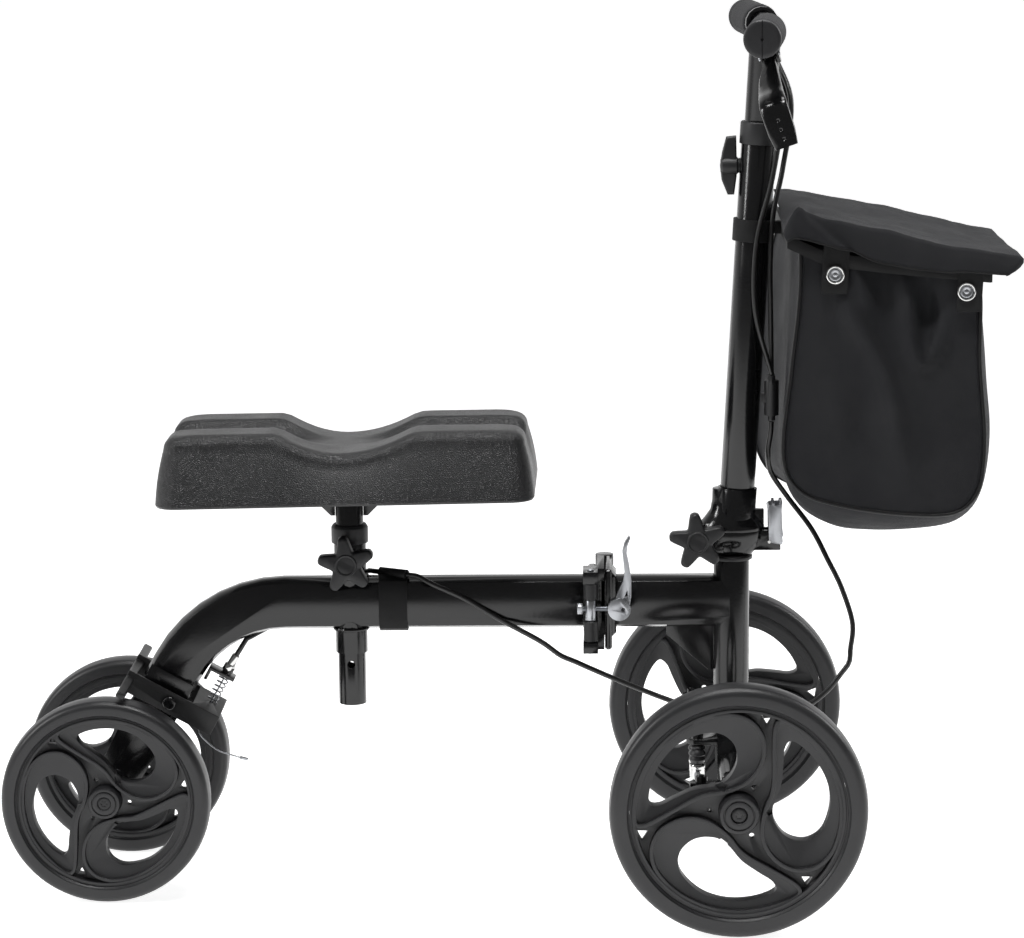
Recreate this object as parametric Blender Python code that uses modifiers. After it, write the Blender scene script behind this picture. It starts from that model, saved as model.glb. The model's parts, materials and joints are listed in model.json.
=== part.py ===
"""A folding knee scooter: two tubular frame halves hinged in the middle, tie-rod steering, a height-adjustable knee
pad and handlebar, moulded wheels, a tyre brake and a bag. Metres, +Z up, +X forward, +Y to the rider's left. Sizes
are measured from the front axle line; everything hangs on one empty that puts the middle of the scooter at x = 0."""

import math

import bmesh
import bpy
from mathutils import Matrix, Vector

# Driving sizes
GAP = 0.0003
WHEELBASE = 0.573
FRONT_WHEEL_R = 0.1143
REAR_WHEEL_R = 0.09525
FRONT_TRACK = 0.385
REAR_TRACK = 0.159
FRONT_TYRE_W = 0.032
REAR_TYRE_W = 0.030
TYRE_SHARE = 0.16
WHEEL_SIDES = 30
AXLE_R = 0.006
AXLE_PLAY = 0.0003

BEAM_SIDE = 0.0022
BEAM_H = 0.048
BEAM_Z = 0.261
BEAM_CORNER = 0.012
BEAM_CORNER_STEPS = 2
BEND_R = 0.116
BEND_ANGLE = math.radians(61)
FORK_PLATE = 0.004

HINGE_X = -0.1175
HINGE_PIN_Y = 0.038
HINGE_LOW = 0.221
HINGE_HIGH = 0.297
FLANGE = 0.0065
HINGE_PIN_R = 0.004
LATCH_X = -0.130
LATCH_Y = -0.038
LATCH_Z = 0.2615
SWING_ROD_R = 0.0025

SEAT_X = -0.3525
SEAT_POST_R = 0.0128
SLEEVE_WALL = 0.0017
BEAM_W = 2 * (SEAT_POST_R + GAP + SLEEVE_WALL + BEAM_SIDE)
SLEEVE_LOW = 0.214
SLEEVE_HIGH = 0.317
COLLAR_HIGH = 0.335
POST_LOW = 0.165
POST_HOLE_Z = 0.2035
PLATE_Z = 0.364
PLATE_T = 0.004
PAD_LOW = 0.369
PAD_HIGH = 0.4275
PAD_LENGTH = 0.3345
PAD_FORWARD = 0.0073
PAD_WIDTH = 0.174
KNOB_R = 0.0265
KNOB_T = 0.013
BOSS_LENGTH = 0.0070
KNOB_STANDOFF = 0.0042
SEAT_KNOB_Z = 0.3025

HEAD_R = 0.0165
HEAD_LOW = 0.1515
HEAD_HIGH = 0.300
STEERER_R = 0.0127
CROSS_R = 0.0127
CROSS_Z = 0.112
KING_PIN_Y = 0.150
KING_PIN_R = 0.004
BARREL_R = 0.010
BARREL_HALF = 0.018
PITMAN_Z = 0.1285
PITMAN_T = 0.005
ARM = Vector((-0.032, 0.010, 0.0))
TIE_ROD_R = 0.004
TIE_ROD_Z = 0.098

FOLD_X = -0.0307
FOLD_Z = 0.322
SEAM_Z = 0.328
COLUMN_LEAN = math.radians(3.43)
COLUMN_R = 0.0159
COLUMN_WALL = 0.0015
COLUMN_TOP = 0.701
COLUMN_COLLAR = 0.018
STEM_PLAY = 0.0004
STEM_R = COLUMN_R - COLUMN_WALL - STEM_PLAY
STEM_WALL = 0.0020
STEM_INSERT = 0.255
BAR_X = 0.0197
BAR_Z = 0.788
BAR_R = 0.0111
BAR_HALF = 0.186
GRIP_R = 0.0165
GRIP_LENGTH = 0.112
HEIGHT_KNOB_Z = 0.6635

BAG_HALF = 0.117
BAG_WALL = 0.003
LID_FRONT_X = 0.2570
STRAP_X = (-0.3255, -0.2995)
CABLE_R = 0.0024

BEND_X = (
    -WHEELBASE
    + BEND_R * math.sin(BEND_ANGLE)
    + (BEAM_Z - BEND_R + BEND_R * math.cos(BEND_ANGLE) - REAR_WHEEL_R) / math.tan(BEND_ANGLE)
)
FACET = 1 / math.cos(math.pi / WHEEL_SIDES)
MIDDLE_X = (LID_FRONT_X - WHEELBASE - REAR_WHEEL_R * FACET) / 2

COLOURS = {
    "powder_black": ((0.012, 0.012, 0.013), 0.28, 0.0),
    "casting_black": ((0.014, 0.014, 0.015), 0.22, 0.0),
    "wheel_grey": ((0.040, 0.040, 0.043), 0.55, 0.0),
    "tyre_grey": ((0.045, 0.045, 0.047), 0.75, 0.0),
    "pad_black": ((0.020, 0.020, 0.021), 0.55, 0.0),
    "knob_black": ((0.018, 0.018, 0.019), 0.6, 0.0),
    "foam_black": ((0.02, 0.02, 0.021), 0.85, 0.0),
    "cloth_black": ((0.010, 0.010, 0.013), 0.85, 0.0),
    "zinc": ((0.62, 0.62, 0.63), 0.28, 1.0),
    "cable_black": ((0.012, 0.012, 0.012), 0.4, 0.0),
}


def clear_scene():
    for item in list(bpy.data.objects):
        bpy.data.objects.remove(item, do_unlink=True)


def new_collection(name, rendered):
    made = bpy.data.collections.new(name)
    made.hide_render = not rendered
    bpy.context.scene.collection.children.link(made)
    return made


def make_materials():
    made = {}
    for name, (colour, roughness, metallic) in COLOURS.items():
        item = bpy.data.materials.new(name)
        item.use_nodes = True
        shader = item.node_tree.nodes["Principled BSDF"]
        shader.inputs["Base Color"].default_value = (*colour, 1.0)
        shader.inputs["Roughness"].default_value = roughness
        shader.inputs["Metallic"].default_value = metallic
        made[name] = item
    return made


clear_scene()
PARTS = new_collection("folding_knee_scooter", True)
CUTTERS = new_collection("cutters", False)
MATERIALS = make_materials()
MIDDLE = bpy.data.objects.new("scooter_middle", None)
MIDDLE.location = (-MIDDLE_X, 0, 0)
MIDDLE["place"] = (0.0, 0.0, 0.0)
PARTS.objects.link(MIDDLE)


def keep(item):
    """Links a new shape to the cutters and hangs it on the middle empty, so that all shapes share one frame."""
    CUTTERS.objects.link(item)
    item.parent = MIDDLE
    return item


def empty(name, parent, location):
    """An empty at a world place (front-axle frame), which carries one moving body."""
    item = bpy.data.objects.new(name, None)
    item.empty_display_size = 0.02
    PARTS.objects.link(item)
    item.parent = parent
    item.location = Vector(location) - Vector(parent["place"])
    item["place"] = tuple(location)
    return item


def own(item, body, material, name=None):
    """Gives a finished object its name, finish and body, with its origin on the body's axis."""
    if name:
        item.name = name
    for group in list(item.users_collection):
        group.objects.unlink(item)
    PARTS.objects.link(item)
    item.data.materials.clear()
    item.data.materials.append(MATERIALS[material])
    item.parent = body
    place = Matrix.Translation(-Vector(body["place"]))
    item.matrix_local = place @ item.matrix_basis
    return item


def helper(item):
    """Moves an object to the cutters, where neither a render nor the build takes it."""
    for group in list(item.users_collection):
        group.objects.unlink(item)
    CUTTERS.objects.link(item)
    item.hide_render = True
    item.display_type = "WIRE"
    return item


def mesh_object(name, work):
    bmesh.ops.recalc_face_normals(work, faces=work.faces)
    mesh = bpy.data.meshes.new(name)
    work.to_mesh(mesh)
    work.free()
    return keep(bpy.data.objects.new(name, mesh))


def smooth(item, angle=35):
    item.data.shade_smooth()
    item.data.set_sharp_from_angle(angle=math.radians(angle))
    return item


def block(low, high, name="block", edge=0.0, segments=1):
    """A box between two corners, with its edges rounded by a Bevel modifier."""
    work = bmesh.new()
    bmesh.ops.create_cube(work, size=1.0)
    low, high = Vector(low), Vector(high)
    for point in work.verts:
        point.co = Vector((low[i] + (point.co[i] + 0.5) * (high[i] - low[i]) for i in range(3)))
    item = mesh_object(name, work)
    if edge:
        bevel = item.modifiers.new("edges", "BEVEL")
        bevel.width = edge
        bevel.segments = segments
    return item


def rod(start, end, radius, sides=16, name="rod", end_radius=None):
    """A round bar between two points."""
    start, end = Vector(start), Vector(end)
    along = end - start
    work = bmesh.new()
    bmesh.ops.create_cone(
        work,
        cap_ends=True,
        segments=sides,
        radius1=radius,
        radius2=radius if end_radius is None else end_radius,
        depth=along.length,
    )
    turn = along.to_track_quat("Z", "Y").to_matrix().to_4x4()
    bmesh.ops.transform(work, matrix=Matrix.Translation((start + end) / 2) @ turn, verts=work.verts)
    return smooth(mesh_object(name, work))


def turned(profile, steps, name="turned", matrix=None, closed=True):
    """A profile of (radius, height) points turned about Z by a Screw modifier. It runs down the outer side."""
    work = bmesh.new()
    points = [work.verts.new((radius, 0, height)) for radius, height in profile]
    pairs = list(zip(points, points[1:]))
    if closed:
        pairs.append((points[-1], points[0]))
    for first, second in pairs:
        work.edges.new((first, second))
    mesh = bpy.data.meshes.new(name)
    work.to_mesh(mesh)
    work.free()
    item = keep(bpy.data.objects.new(name, mesh))
    screw = item.modifiers.new("turn", "SCREW")
    screw.steps = steps
    screw.render_steps = steps
    screw.use_merge_vertices = True
    screw.merge_threshold = 0.00001
    screw.use_smooth_shade = True
    if matrix is not None:
        item.matrix_basis = matrix
    return item


def as_mesh(item, weld=0.00001):
    """Turns a curve, or an object with modifiers, into a plain mesh object in the same place."""
    bpy.context.view_layer.update()
    graph = bpy.context.evaluated_depsgraph_get()
    mesh = bpy.data.meshes.new_from_object(item.evaluated_get(graph))
    work = bmesh.new()
    work.from_mesh(mesh)
    bmesh.ops.remove_doubles(work, verts=work.verts, dist=weld)
    bmesh.ops.recalc_face_normals(work, faces=work.faces)
    work.to_mesh(mesh)
    work.free()
    made = keep(bpy.data.objects.new(item.name + "_mesh", mesh))
    made.matrix_basis = item.matrix_basis.copy()
    for modifier in item.modifiers:
        if modifier.type == "BOOLEAN":
            bpy.data.objects.remove(modifier.object, do_unlink=True)
    bpy.data.objects.remove(item, do_unlink=True)
    return made


def outline(loops, half, name="outline", matrix=None, smooth_loops=(), resolution=3, rounding=0.0, offset=0.0):
    """A flat outline with holes, thickened to both sides; the loops in smooth_loops are smooth curves."""
    curve = bpy.data.curves.new(name, "CURVE")
    curve.dimensions = "2D"
    curve.fill_mode = "BOTH"
    curve.extrude = half - rounding
    curve.bevel_depth = rounding
    curve.bevel_resolution = 0
    curve.offset = offset
    curve.resolution_u = resolution
    for number, loop in enumerate(loops):
        if number in smooth_loops:
            spline = curve.splines.new("BEZIER")
            spline.bezier_points.add(len(loop) - 1)
            for point, (x, y) in zip(spline.bezier_points, loop):
                point.co = (x, y, 0)
                point.handle_left_type = "AUTO"
                point.handle_right_type = "AUTO"
        else:
            spline = curve.splines.new("POLY")
            spline.points.add(len(loop) - 1)
            for point, (x, y) in zip(spline.points, loop):
                point.co = (x, y, 0, 1)
        spline.use_cyclic_u = True
    item = keep(bpy.data.objects.new(name, curve))
    if matrix is not None:
        item.matrix_basis = matrix
    return as_mesh(item)


def smooth_route(points, count):
    """Points along a Catmull-Rom curve through the given ones, evenly spaced by length."""
    known = [Vector(point) for point in points]
    ends = [known[0] * 2 - known[1]] + known + [known[-1] * 2 - known[-2]]
    fine = []
    for a, b, c, d in zip(ends, ends[1:], ends[2:], ends[3:]):
        for step in range(12):
            t = step / 12
            fine.append(
                0.5 * (2 * b + (c - a) * t + (2 * a - 5 * b + 4 * c - d) * t**2 + (3 * b - a - 3 * c + d) * t**3)
            )
    fine.append(known[-1])
    lengths = [0.0]
    for first, second in zip(fine, fine[1:]):
        lengths.append(lengths[-1] + (second - first).length)
    route = []
    place = 0
    for number in range(count):
        wanted = lengths[-1] * number / (count - 1)
        while place < len(fine) - 2 and lengths[place + 1] < wanted:
            place += 1
        span = lengths[place + 1] - lengths[place]
        route.append(fine[place].lerp(fine[place + 1], (wanted - lengths[place]) / span))
    return route


def tube(points, radius, name="tube", resolution=2, section=None):
    """A wire or tube along points, with filled caps; a section object replaces the round section."""
    curve = bpy.data.curves.new(name, "CURVE")
    curve.dimensions = "3D"
    curve.twist_mode = "Z_UP"
    curve.use_fill_caps = True
    if section is None:
        curve.bevel_depth = radius
        curve.bevel_resolution = resolution
    else:
        curve.bevel_mode = "OBJECT"
        curve.bevel_object = section
    spline = curve.splines.new("POLY")
    spline.points.add(len(points) - 1)
    for point, place in zip(spline.points, points):
        point.co = (*place, 1)
    item = keep(bpy.data.objects.new(name, curve))
    return item


def fuse(base, others):
    """Joins overlapping shapes into the base by Boolean unions."""
    for other in others:
        helper(other)
        union = base.modifiers.new("join_" + other.name, "BOOLEAN")
        union.operation = "UNION"
        union.solver = "EXACT"
        union.object = other
    return base


def cut(base, cutters):
    """Takes shapes out of the base by Boolean differences."""
    for cutter in cutters:
        helper(cutter)
        hole = base.modifiers.new("cut_" + cutter.name, "BOOLEAN")
        hole.operation = "DIFFERENCE"
        hole.solver = "EXACT"
        hole.object = cutter
    return base


def facing(axis, place):
    """A matrix whose local Z runs along the given world axis, at a place."""
    turns = {
        "-Y": Matrix.Rotation(math.pi / 2, 4, "X"),
        "+Y": Matrix.Rotation(-math.pi / 2, 4, "X"),
        "-X": Matrix.Rotation(-math.pi / 2, 4, "Y"),
        "+X": Matrix.Rotation(math.pi / 2, 4, "Y"),
        "+Z": Matrix.Identity(4),
    }
    return Matrix.Translation(Vector(place)) @ turns[axis]


def rounded_outline(half_x, half_y, corner, steps=3, centre=(0, 0)):
    """A rectangle with round corners, as points."""
    loop = []
    for quarter, (sx, sy) in enumerate(((1, 1), (-1, 1), (-1, -1), (1, -1))):
        for step in range(steps + 1):
            angle = math.pi / 2 * (quarter + step / steps)
            loop.append(
                (
                    centre[0] + sx * (half_x - corner) + corner * math.cos(angle),
                    centre[1] + sy * (half_y - corner) + corner * math.sin(angle),
                )
            )
    return loop


def circle(radius, sides, centre=(0, 0), start=0.0):
    return [
        (
            centre[0] + radius * math.cos(start + 2 * math.pi * i / sides),
            centre[1] + radius * math.sin(start + 2 * math.pi * i / sides),
        )
        for i in range(sides)
    ]


def grown(loop, distance):
    """The loop (counter-clockwise) moved outwards by a distance."""
    moved = []
    count = len(loop)
    for number in range(count):
        before = Vector(loop[number - 1])
        here = Vector(loop[number])
        after = Vector(loop[(number + 1) % count])
        along = (here - before).normalized() + (after - here).normalized()
        along.normalize()
        moved.append((here.x + along.y * distance, here.y - along.x * distance))
    return moved


def spun(loop, turn):
    c, s = math.cos(turn), math.sin(turn)
    return [(c * x - s * y, s * x + c * y) for x, y in loop]


# Wheels
WINDOW = (
    (0.271, 0.065),
    (0.268, -0.060),
    (0.355, -0.190),
    (0.505, -0.234),
    (0.640, -0.150),
    (0.703, 0.060),
    (0.665, 0.270),
    (0.550, 0.452),
    (0.410, 0.560),
    (0.352, 0.505),
    (0.342, 0.380),
    (0.325, 0.215),
)
WINDOW_BAND = 0.115
RIM_RING = 0.80
WEB_HALF = 0.003


def wheel_moulding(radius, width, hub_half):
    """The plastic wheel centre: hub, thin web, rim ring and three raised bands round the comma-shaped windows."""
    seat = radius * (1 - TYRE_SHARE)
    bore = AXLE_R + AXLE_PLAY
    rim_half = 0.40 * width
    band_half = rim_half - 0.0015
    recess = 0.095 * radius
    profile = [
        (bore, hub_half - 0.006),
        (recess, hub_half - 0.006),
        (recess, hub_half),
        (0.170 * radius, hub_half),
        (0.205 * radius, WEB_HALF),
        (RIM_RING * radius, WEB_HALF),
        (RIM_RING * radius, rim_half),
        (seat, rim_half),
        (seat, -rim_half),
        (RIM_RING * radius, -rim_half),
        (RIM_RING * radius, -WEB_HALF),
        (0.205 * radius, -WEB_HALF),
        (0.180 * radius, -hub_half + 0.002),
        (bore, -hub_half + 0.002),
    ]
    disc = turned(profile, WHEEL_SIDES, "moulding")
    window = [(x * radius, y * radius) for x, y in WINDOW]
    band = grown(window, WINDOW_BAND * radius)
    bands = []
    windows = []
    for number in range(3):
        turn = number * 2 * math.pi / 3
        raised = outline([spun(band, turn)], band_half / 2, "band")
        raised.matrix_basis = Matrix.Translation((0, 0, band_half / 2))
        bands.append(raised)
        windows.append(outline([spun(window, turn)], 2 * rim_half, "window"))
        triangle = circle(0.030 * radius, 3, (0.748 * radius, 0), math.pi / 6)
        windows.append(outline([spun(triangle, turn + math.radians(73.3))], 2 * rim_half, "rim_hole"))
    keep_inside = rod((0, 0, -2 * rim_half), (0, 0, 2 * rim_half), (RIM_RING + 0.005) * radius, WHEEL_SIDES)
    for piece in bands:
        inside = piece.modifiers.new("inside_rim", "BOOLEAN")
        inside.operation = "INTERSECT"
        inside.solver = "EXACT"
        inside.object = keep_inside
    hollow = rod((0, 0, -2 * rim_half), (0, 0, 2 * rim_half), 0.20 * radius, WHEEL_SIDES)
    for piece in bands:
        cut(piece, [hollow])
    bands = [as_mesh_keeping(piece) for piece in bands]
    bpy.data.objects.remove(keep_inside, do_unlink=True)
    bpy.data.objects.remove(hollow, do_unlink=True)
    cut(fuse(disc, bands), windows)
    return smooth(as_mesh(disc), 30)


def as_mesh_keeping(item):
    """As as_mesh, for a shape whose cutters serve others too."""
    bpy.context.view_layer.update()
    graph = bpy.context.evaluated_depsgraph_get()
    mesh = bpy.data.meshes.new_from_object(item.evaluated_get(graph))
    made = keep(bpy.data.objects.new(item.name + "_mesh", mesh))
    made.matrix_basis = item.matrix_basis.copy()
    bpy.data.objects.remove(item, do_unlink=True)
    return made


def tyre_ring(radius, width):
    seat = radius * (1 - TYRE_SHARE) + GAP
    tread = radius * FACET
    profile = [
        (seat, 0.37 * width),
        (0.935 * radius, 0.5 * width),
        (tread, 0.27 * width),
        (tread, -0.27 * width),
        (0.935 * radius, -0.5 * width),
        (seat, -0.37 * width),
    ]
    return smooth(as_mesh(turned(profile, WHEEL_SIDES, "tyre")), 40)


def make_wheel_pair(end, radius, width, hub_half, axle_x, track, bodies):
    moulding = wheel_moulding(radius, width, hub_half)
    ring = tyre_ring(radius, width)
    for side, sign, axis in (("right", -1, "-Y"), ("left", 1, "+Y")):
        body = bodies[side]
        place = facing(axis, (axle_x, sign * track / 2, radius))
        for kind, shape, finish in (("rim", moulding, "wheel_grey"), ("tyre", ring, "tyre_grey")):
            item = keep(bpy.data.objects.new(f"{end}_{side}_{kind}", shape.data))
            item.matrix_basis = place.copy()
            own(item, body, finish)
    bpy.data.objects.remove(moulding, do_unlink=True)
    bpy.data.objects.remove(ring, do_unlink=True)


# Rear half
REAR_TURN = math.pi / 2 - BEND_ANGLE
REAR_FRAME = Matrix.Translation((-WHEELBASE, 0, REAR_WHEEL_R)) @ Matrix.Rotation(REAR_TURN, 4, "Y")
BEAM_END = 0.1005
FORK_HALF = 0.022
FORK_Y = BEAM_W / 2 + GAP
FORK_FOOT_R = 0.019
AXLE_TUBE_R = 0.0125
AXLE_TUBE_HALF = 0.058
REAR_HUB_HALF = 0.0165
BRAKE_R = 0.0945
BRAKE_V = 0.0090
BRAKE_WALL_Y = 0.0330
BRAKE_WALL = 0.0025
BRAKE_HEIGHT = 0.020
BRAKE_FRONT = 0.056
BRAKE_BACK = -0.0375
SHOE_DEPTH = 0.0085
SHOE_GAP = 0.0028
WIRE_V = 0.0430
STOP_R = 0.1335
STOP_T = 0.003


def rear(place):
    """A place of the rear fork's own frame: forward across the beam, left, up along the beam from the axle."""
    return REAR_FRAME @ Vector(place)


def in_rear_frame(item):
    item.matrix_basis = REAR_FRAME @ item.matrix_basis
    return item


def beam_section(name="section"):
    curve = bpy.data.curves.new(name, "CURVE")
    curve.dimensions = "2D"
    curve.fill_mode = "NONE"
    spline = curve.splines.new("POLY")
    loop = rounded_outline(BEAM_W / 2, BEAM_H / 2, BEAM_CORNER, BEAM_CORNER_STEPS)
    spline.points.add(len(loop) - 1)
    for point, (x, y) in zip(spline.points, loop):
        point.co = (x, y, 0, 1)
    spline.use_cyclic_u = True
    item = keep(bpy.data.objects.new(name, curve))
    return helper(item)


def beam(path, name):
    section = beam_section()
    made = as_mesh(tube(path, 0, name, section=section))
    bpy.data.objects.remove(section, do_unlink=True)
    return smooth(made, 30)


def make_rear_beam(root):
    path = [(HINGE_X - GAP * 2 - FLANGE, 0, BEAM_Z), (SEAT_X, 0, BEAM_Z)]
    centre = Vector((BEND_X, 0, BEAM_Z - BEND_R))
    steps = 7
    for step in range(steps + 1):
        turn = BEND_ANGLE * step / steps
        path.append(centre + BEND_R * Vector((-math.sin(turn), 0, math.cos(turn))))
    path.append(rear((0, 0, BEAM_END)))
    body = beam(path, "rear_beam")
    sleeve_hole = rod((SEAT_X, 0, 0.2), (SEAT_X, 0, 0.32), sleeve_radius() + GAP, 24, "sleeve_hole")
    own(cut(body, [sleeve_hole]), root, "powder_black", "rear_beam")


def sleeve_radius():
    return SEAT_POST_R + GAP + SLEEVE_WALL


def ring(inner, outer, low, high, steps, name, place=(0, 0, 0), axis="+Z"):
    profile = [(inner, high), (outer, high), (outer, low), (inner, low)]
    return turned(profile, steps, name, facing(axis, place))


def make_seat_sleeve(root):
    sleeve = ring(SEAT_POST_R + GAP, sleeve_radius(), SLEEVE_LOW, SLEEVE_HIGH, 20, "seat_sleeve", (SEAT_X, 0, 0))
    boss_out = -sleeve_radius() - BOSS_LENGTH
    boss = rod((SEAT_X, boss_out, SEAT_KNOB_Z), (SEAT_X, -SEAT_POST_R - GAP - 0.0005, SEAT_KNOB_Z), 0.0085, 12, "boss")
    bore = rod((SEAT_X, -0.04, SEAT_KNOB_Z), (SEAT_X, 0, SEAT_KNOB_Z), 0.0040 + GAP, 10, "boss_bore")
    inside = rod((SEAT_X, 0, 0.2), (SEAT_X, 0, 0.33), SEAT_POST_R + GAP, 20, "sleeve_bore")
    own(cut(fuse(sleeve, [boss]), [bore, inside]), root, "powder_black", "seat_sleeve")
    outer = sleeve_radius() + 0.0022
    profile = [
        (SEAT_POST_R + GAP, COLLAR_HIGH),
        (outer - 0.002, COLLAR_HIGH),
        (outer, COLLAR_HIGH - 0.003),
        (outer, SLEEVE_HIGH + GAP),
        (SEAT_POST_R + GAP, SLEEVE_HIGH + GAP),
    ]
    collar = turned(profile, 20, "sleeve_collar", facing("+Z", (SEAT_X, 0, 0)))
    own(collar, root, "knob_black")


def make_rear_fork(root):
    """Two plates welded to the beam's end, a cross tube for the axle and a spacer between the plates."""
    plates = []
    loop = [(FORK_HALF, 0.060), (FORK_HALF, 0.116), (-FORK_HALF, 0.116), (-FORK_HALF, 0.060)]
    for step in range(7):
        turn = math.pi * (1 + step / 6)
        loop.append((FORK_FOOT_R * math.cos(turn), FORK_FOOT_R * math.sin(turn)))
    for sign in (-1, 1):
        place = REAR_FRAME @ facing("-Y", (0, sign * (FORK_Y + FORK_PLATE / 2), 0))
        plates.append(outline([loop], FORK_PLATE / 2, "fork_arm", place))
    tube_body = rod((0, -AXLE_TUBE_HALF, 0), (0, AXLE_TUBE_HALF, 0), AXLE_TUBE_R, 18, "axle_tube")
    spacer = rod((0, -FORK_Y - 0.002, 0.060), (0, FORK_Y + 0.002, 0.060), 0.010, 10, "fork_spacer")
    bore = rod((0, -0.08, 0), (0, 0.08, 0), AXLE_R + AXLE_PLAY, 14, "axle_bore")
    pin_hole = rod((BRAKE_V, -0.03, BRAKE_R), (BRAKE_V, 0.03, BRAKE_R), 0.004 + GAP, 12, "pin_hole")
    for shape in (tube_body, spacer, bore, pin_hole):
        in_rear_frame(shape)
    own(cut(fuse(tube_body, plates + [spacer]), [bore, pin_hole]), root, "powder_black", "rear_fork")


def bolt_profile(radius, half, head_r, head_t):
    return [
        (0, half + head_t),
        (head_r * 0.8, half + head_t),
        (head_r, half + head_t * 0.6),
        (head_r, half),
        (radius, half),
        (radius, -half),
        (head_r, -half),
        (head_r, -half - head_t * 0.6),
        (head_r * 0.8, -half - head_t),
        (0, -half - head_t),
    ]


def make_rear_axle(root):
    half = REAR_TRACK / 2 + REAR_HUB_HALF - 0.006 + GAP
    shape = turned(
        bolt_profile(AXLE_R, half, 0.0072, 0.0045), 12, "rear_axle", REAR_FRAME @ facing("-Y", (0, 0, 0)), closed=False
    )
    own(shape, root, "knob_black")


def make_brake_parts(root, brake):
    pin = turned(
        bolt_profile(0.004, BRAKE_WALL_Y + GAP, 0.0065, 0.0035),
        12,
        "brake_pivot_bolt",
        REAR_FRAME @ facing("-Y", (BRAKE_V, 0, BRAKE_R)),
        closed=False,
    )
    own(pin, root, "zinc")
    low, high = BRAKE_R - BRAKE_HEIGHT / 2, BRAKE_R + BRAKE_HEIGHT / 2
    walls = []
    for sign in (-1, 1):
        near, far = sorted((sign * BRAKE_WALL_Y, sign * (BRAKE_WALL_Y - BRAKE_WALL)))
        walls.append(block((BRAKE_BACK, near, low), (BRAKE_FRONT, far, high), "channel_wall"))
    corner = (BRAKE_FRONT, BRAKE_WALL_Y, high)
    web = block((FORK_HALF + 0.006, -BRAKE_WALL_Y, high - BRAKE_WALL), corner, "channel_web")
    front = block((BRAKE_FRONT - BRAKE_WALL, -BRAKE_WALL_Y, low + 0.006), corner, "channel_end")
    bar_half = REAR_TRACK / 2 + REAR_TYRE_W / 2
    tyre_drop = REAR_WHEEL_R - math.sqrt(REAR_WHEEL_R**2 - (BRAKE_BACK + SHOE_DEPTH) ** 2)
    bar_low = REAR_WHEEL_R - tyre_drop + SHOE_GAP
    bar_end = (BRAKE_BACK + SHOE_DEPTH, bar_half, bar_low + 0.006)
    bar = block((BRAKE_BACK, -bar_half, bar_low), bar_end, "shoe_bar", 0.0012)
    pin_hole = rod((BRAKE_V, -0.05, BRAKE_R), (BRAKE_V, 0.05, BRAKE_R), 0.004 + GAP, 12, "channel_hole")
    wire_hole = rod((WIRE_V, 0, low), (WIRE_V, 0, high + 0.01), 0.0016, 8, "wire_hole")
    for shape in walls + [web, front, bar, pin_hole, wire_hole]:
        in_rear_frame(shape)
    channel = cut(fuse(web, walls + [front, bar]), [pin_hole, wire_hole])
    own(channel, brake, "powder_black", "rear_brake_channel")


def make_brake_spring(brake):
    """The return spring between the cable stop and the channel: one unbroken tube, turned by a loop."""
    low = BRAKE_R + BRAKE_HEIGHT / 2 + 0.0011
    high = STOP_R - 0.0011
    turns = 6
    wire = 0.0007
    radius = 0.0050
    points = []
    steps = turns * 9
    for step in range(steps + 1):
        angle = 2 * math.pi * step / 9
        points.append(
            rear((WIRE_V + radius * math.cos(angle), radius * math.sin(angle), low + (high - low) * step / steps))
        )
    own(as_mesh(tube(points, wire, "brake_spring", 0)), brake, "zinc", "brake_spring")
    spacing = min((points[i] - points[j]).length for i in range(steps) for j in range(i + 6, steps))
    print(f"brake_spring: least gap between its turns {(spacing - 2 * wire) * 1000:.2f} mm")


def make_brake_wire(brake):
    top = rear((WIRE_V, 0, STOP_R - 0.004))
    route = [
        top,
        rear((WIRE_V, 0, BRAKE_R)),
        rear((WIRE_V + 0.002, 0, BRAKE_R - 0.020)),
        (0.0902 - WHEELBASE, 0, 0.1215),
        (0.1030 - WHEELBASE, -0.001, 0.1160),
        (0.1213 - WHEELBASE, -0.001, 0.1105),
    ]
    wire = as_mesh(tube(smooth_route(route, 22), 0.0008, "brake_wire", 0))
    nut = rod(rear((WIRE_V, 0, BRAKE_R - 0.001)), rear((WIRE_V + 0.0003, 0, BRAKE_R - 0.0085)), 0.0042, 6, "wire_nut")
    crimp = rod((0.1140 - WHEELBASE, -0.001, 0.1127), (0.1213 - WHEELBASE, -0.001, 0.1105), 0.0015, 6, "wire_crimp")
    own(fuse(wire, [nut, crimp]), brake, "zinc", "brake_wire")


def make_cable_stop(root):
    foot = block((0.0262, -0.009, STOP_R - 0.010), (0.0292, 0.009, STOP_R + STOP_T), "stop_foot")
    tongue = block((0.0262, -0.009, STOP_R), (0.052, 0.009, STOP_R + STOP_T), "stop_tongue")
    barrel_profile = [
        (0.0012, 0.020),
        (0.0035, 0.020),
        (0.0035, 0.011),
        (0.0050, 0.010),
        (0.0050, 0.003),
        (0.0032, 0.0025),
        (0.0032, -0.001),
        (0.0012, -0.001),
    ]
    place = Matrix.Translation((WIRE_V, 0, STOP_R))
    barrel = turned(barrel_profile, 12, "adjuster", place)
    bore = rod((WIRE_V, 0, STOP_R - 0.005), (WIRE_V, 0, STOP_R + 0.016), 0.0012, 12, "wire_bore")
    for shape in (foot, tongue, barrel, bore):
        in_rear_frame(shape)
    own(cut(fuse(tongue, [foot, barrel]), [bore]), root, "zinc", "rear_cable_stop")


STRAP_CROSSING = ((-0.2950, -0.0120), (-0.3300, 0.0070))


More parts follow.
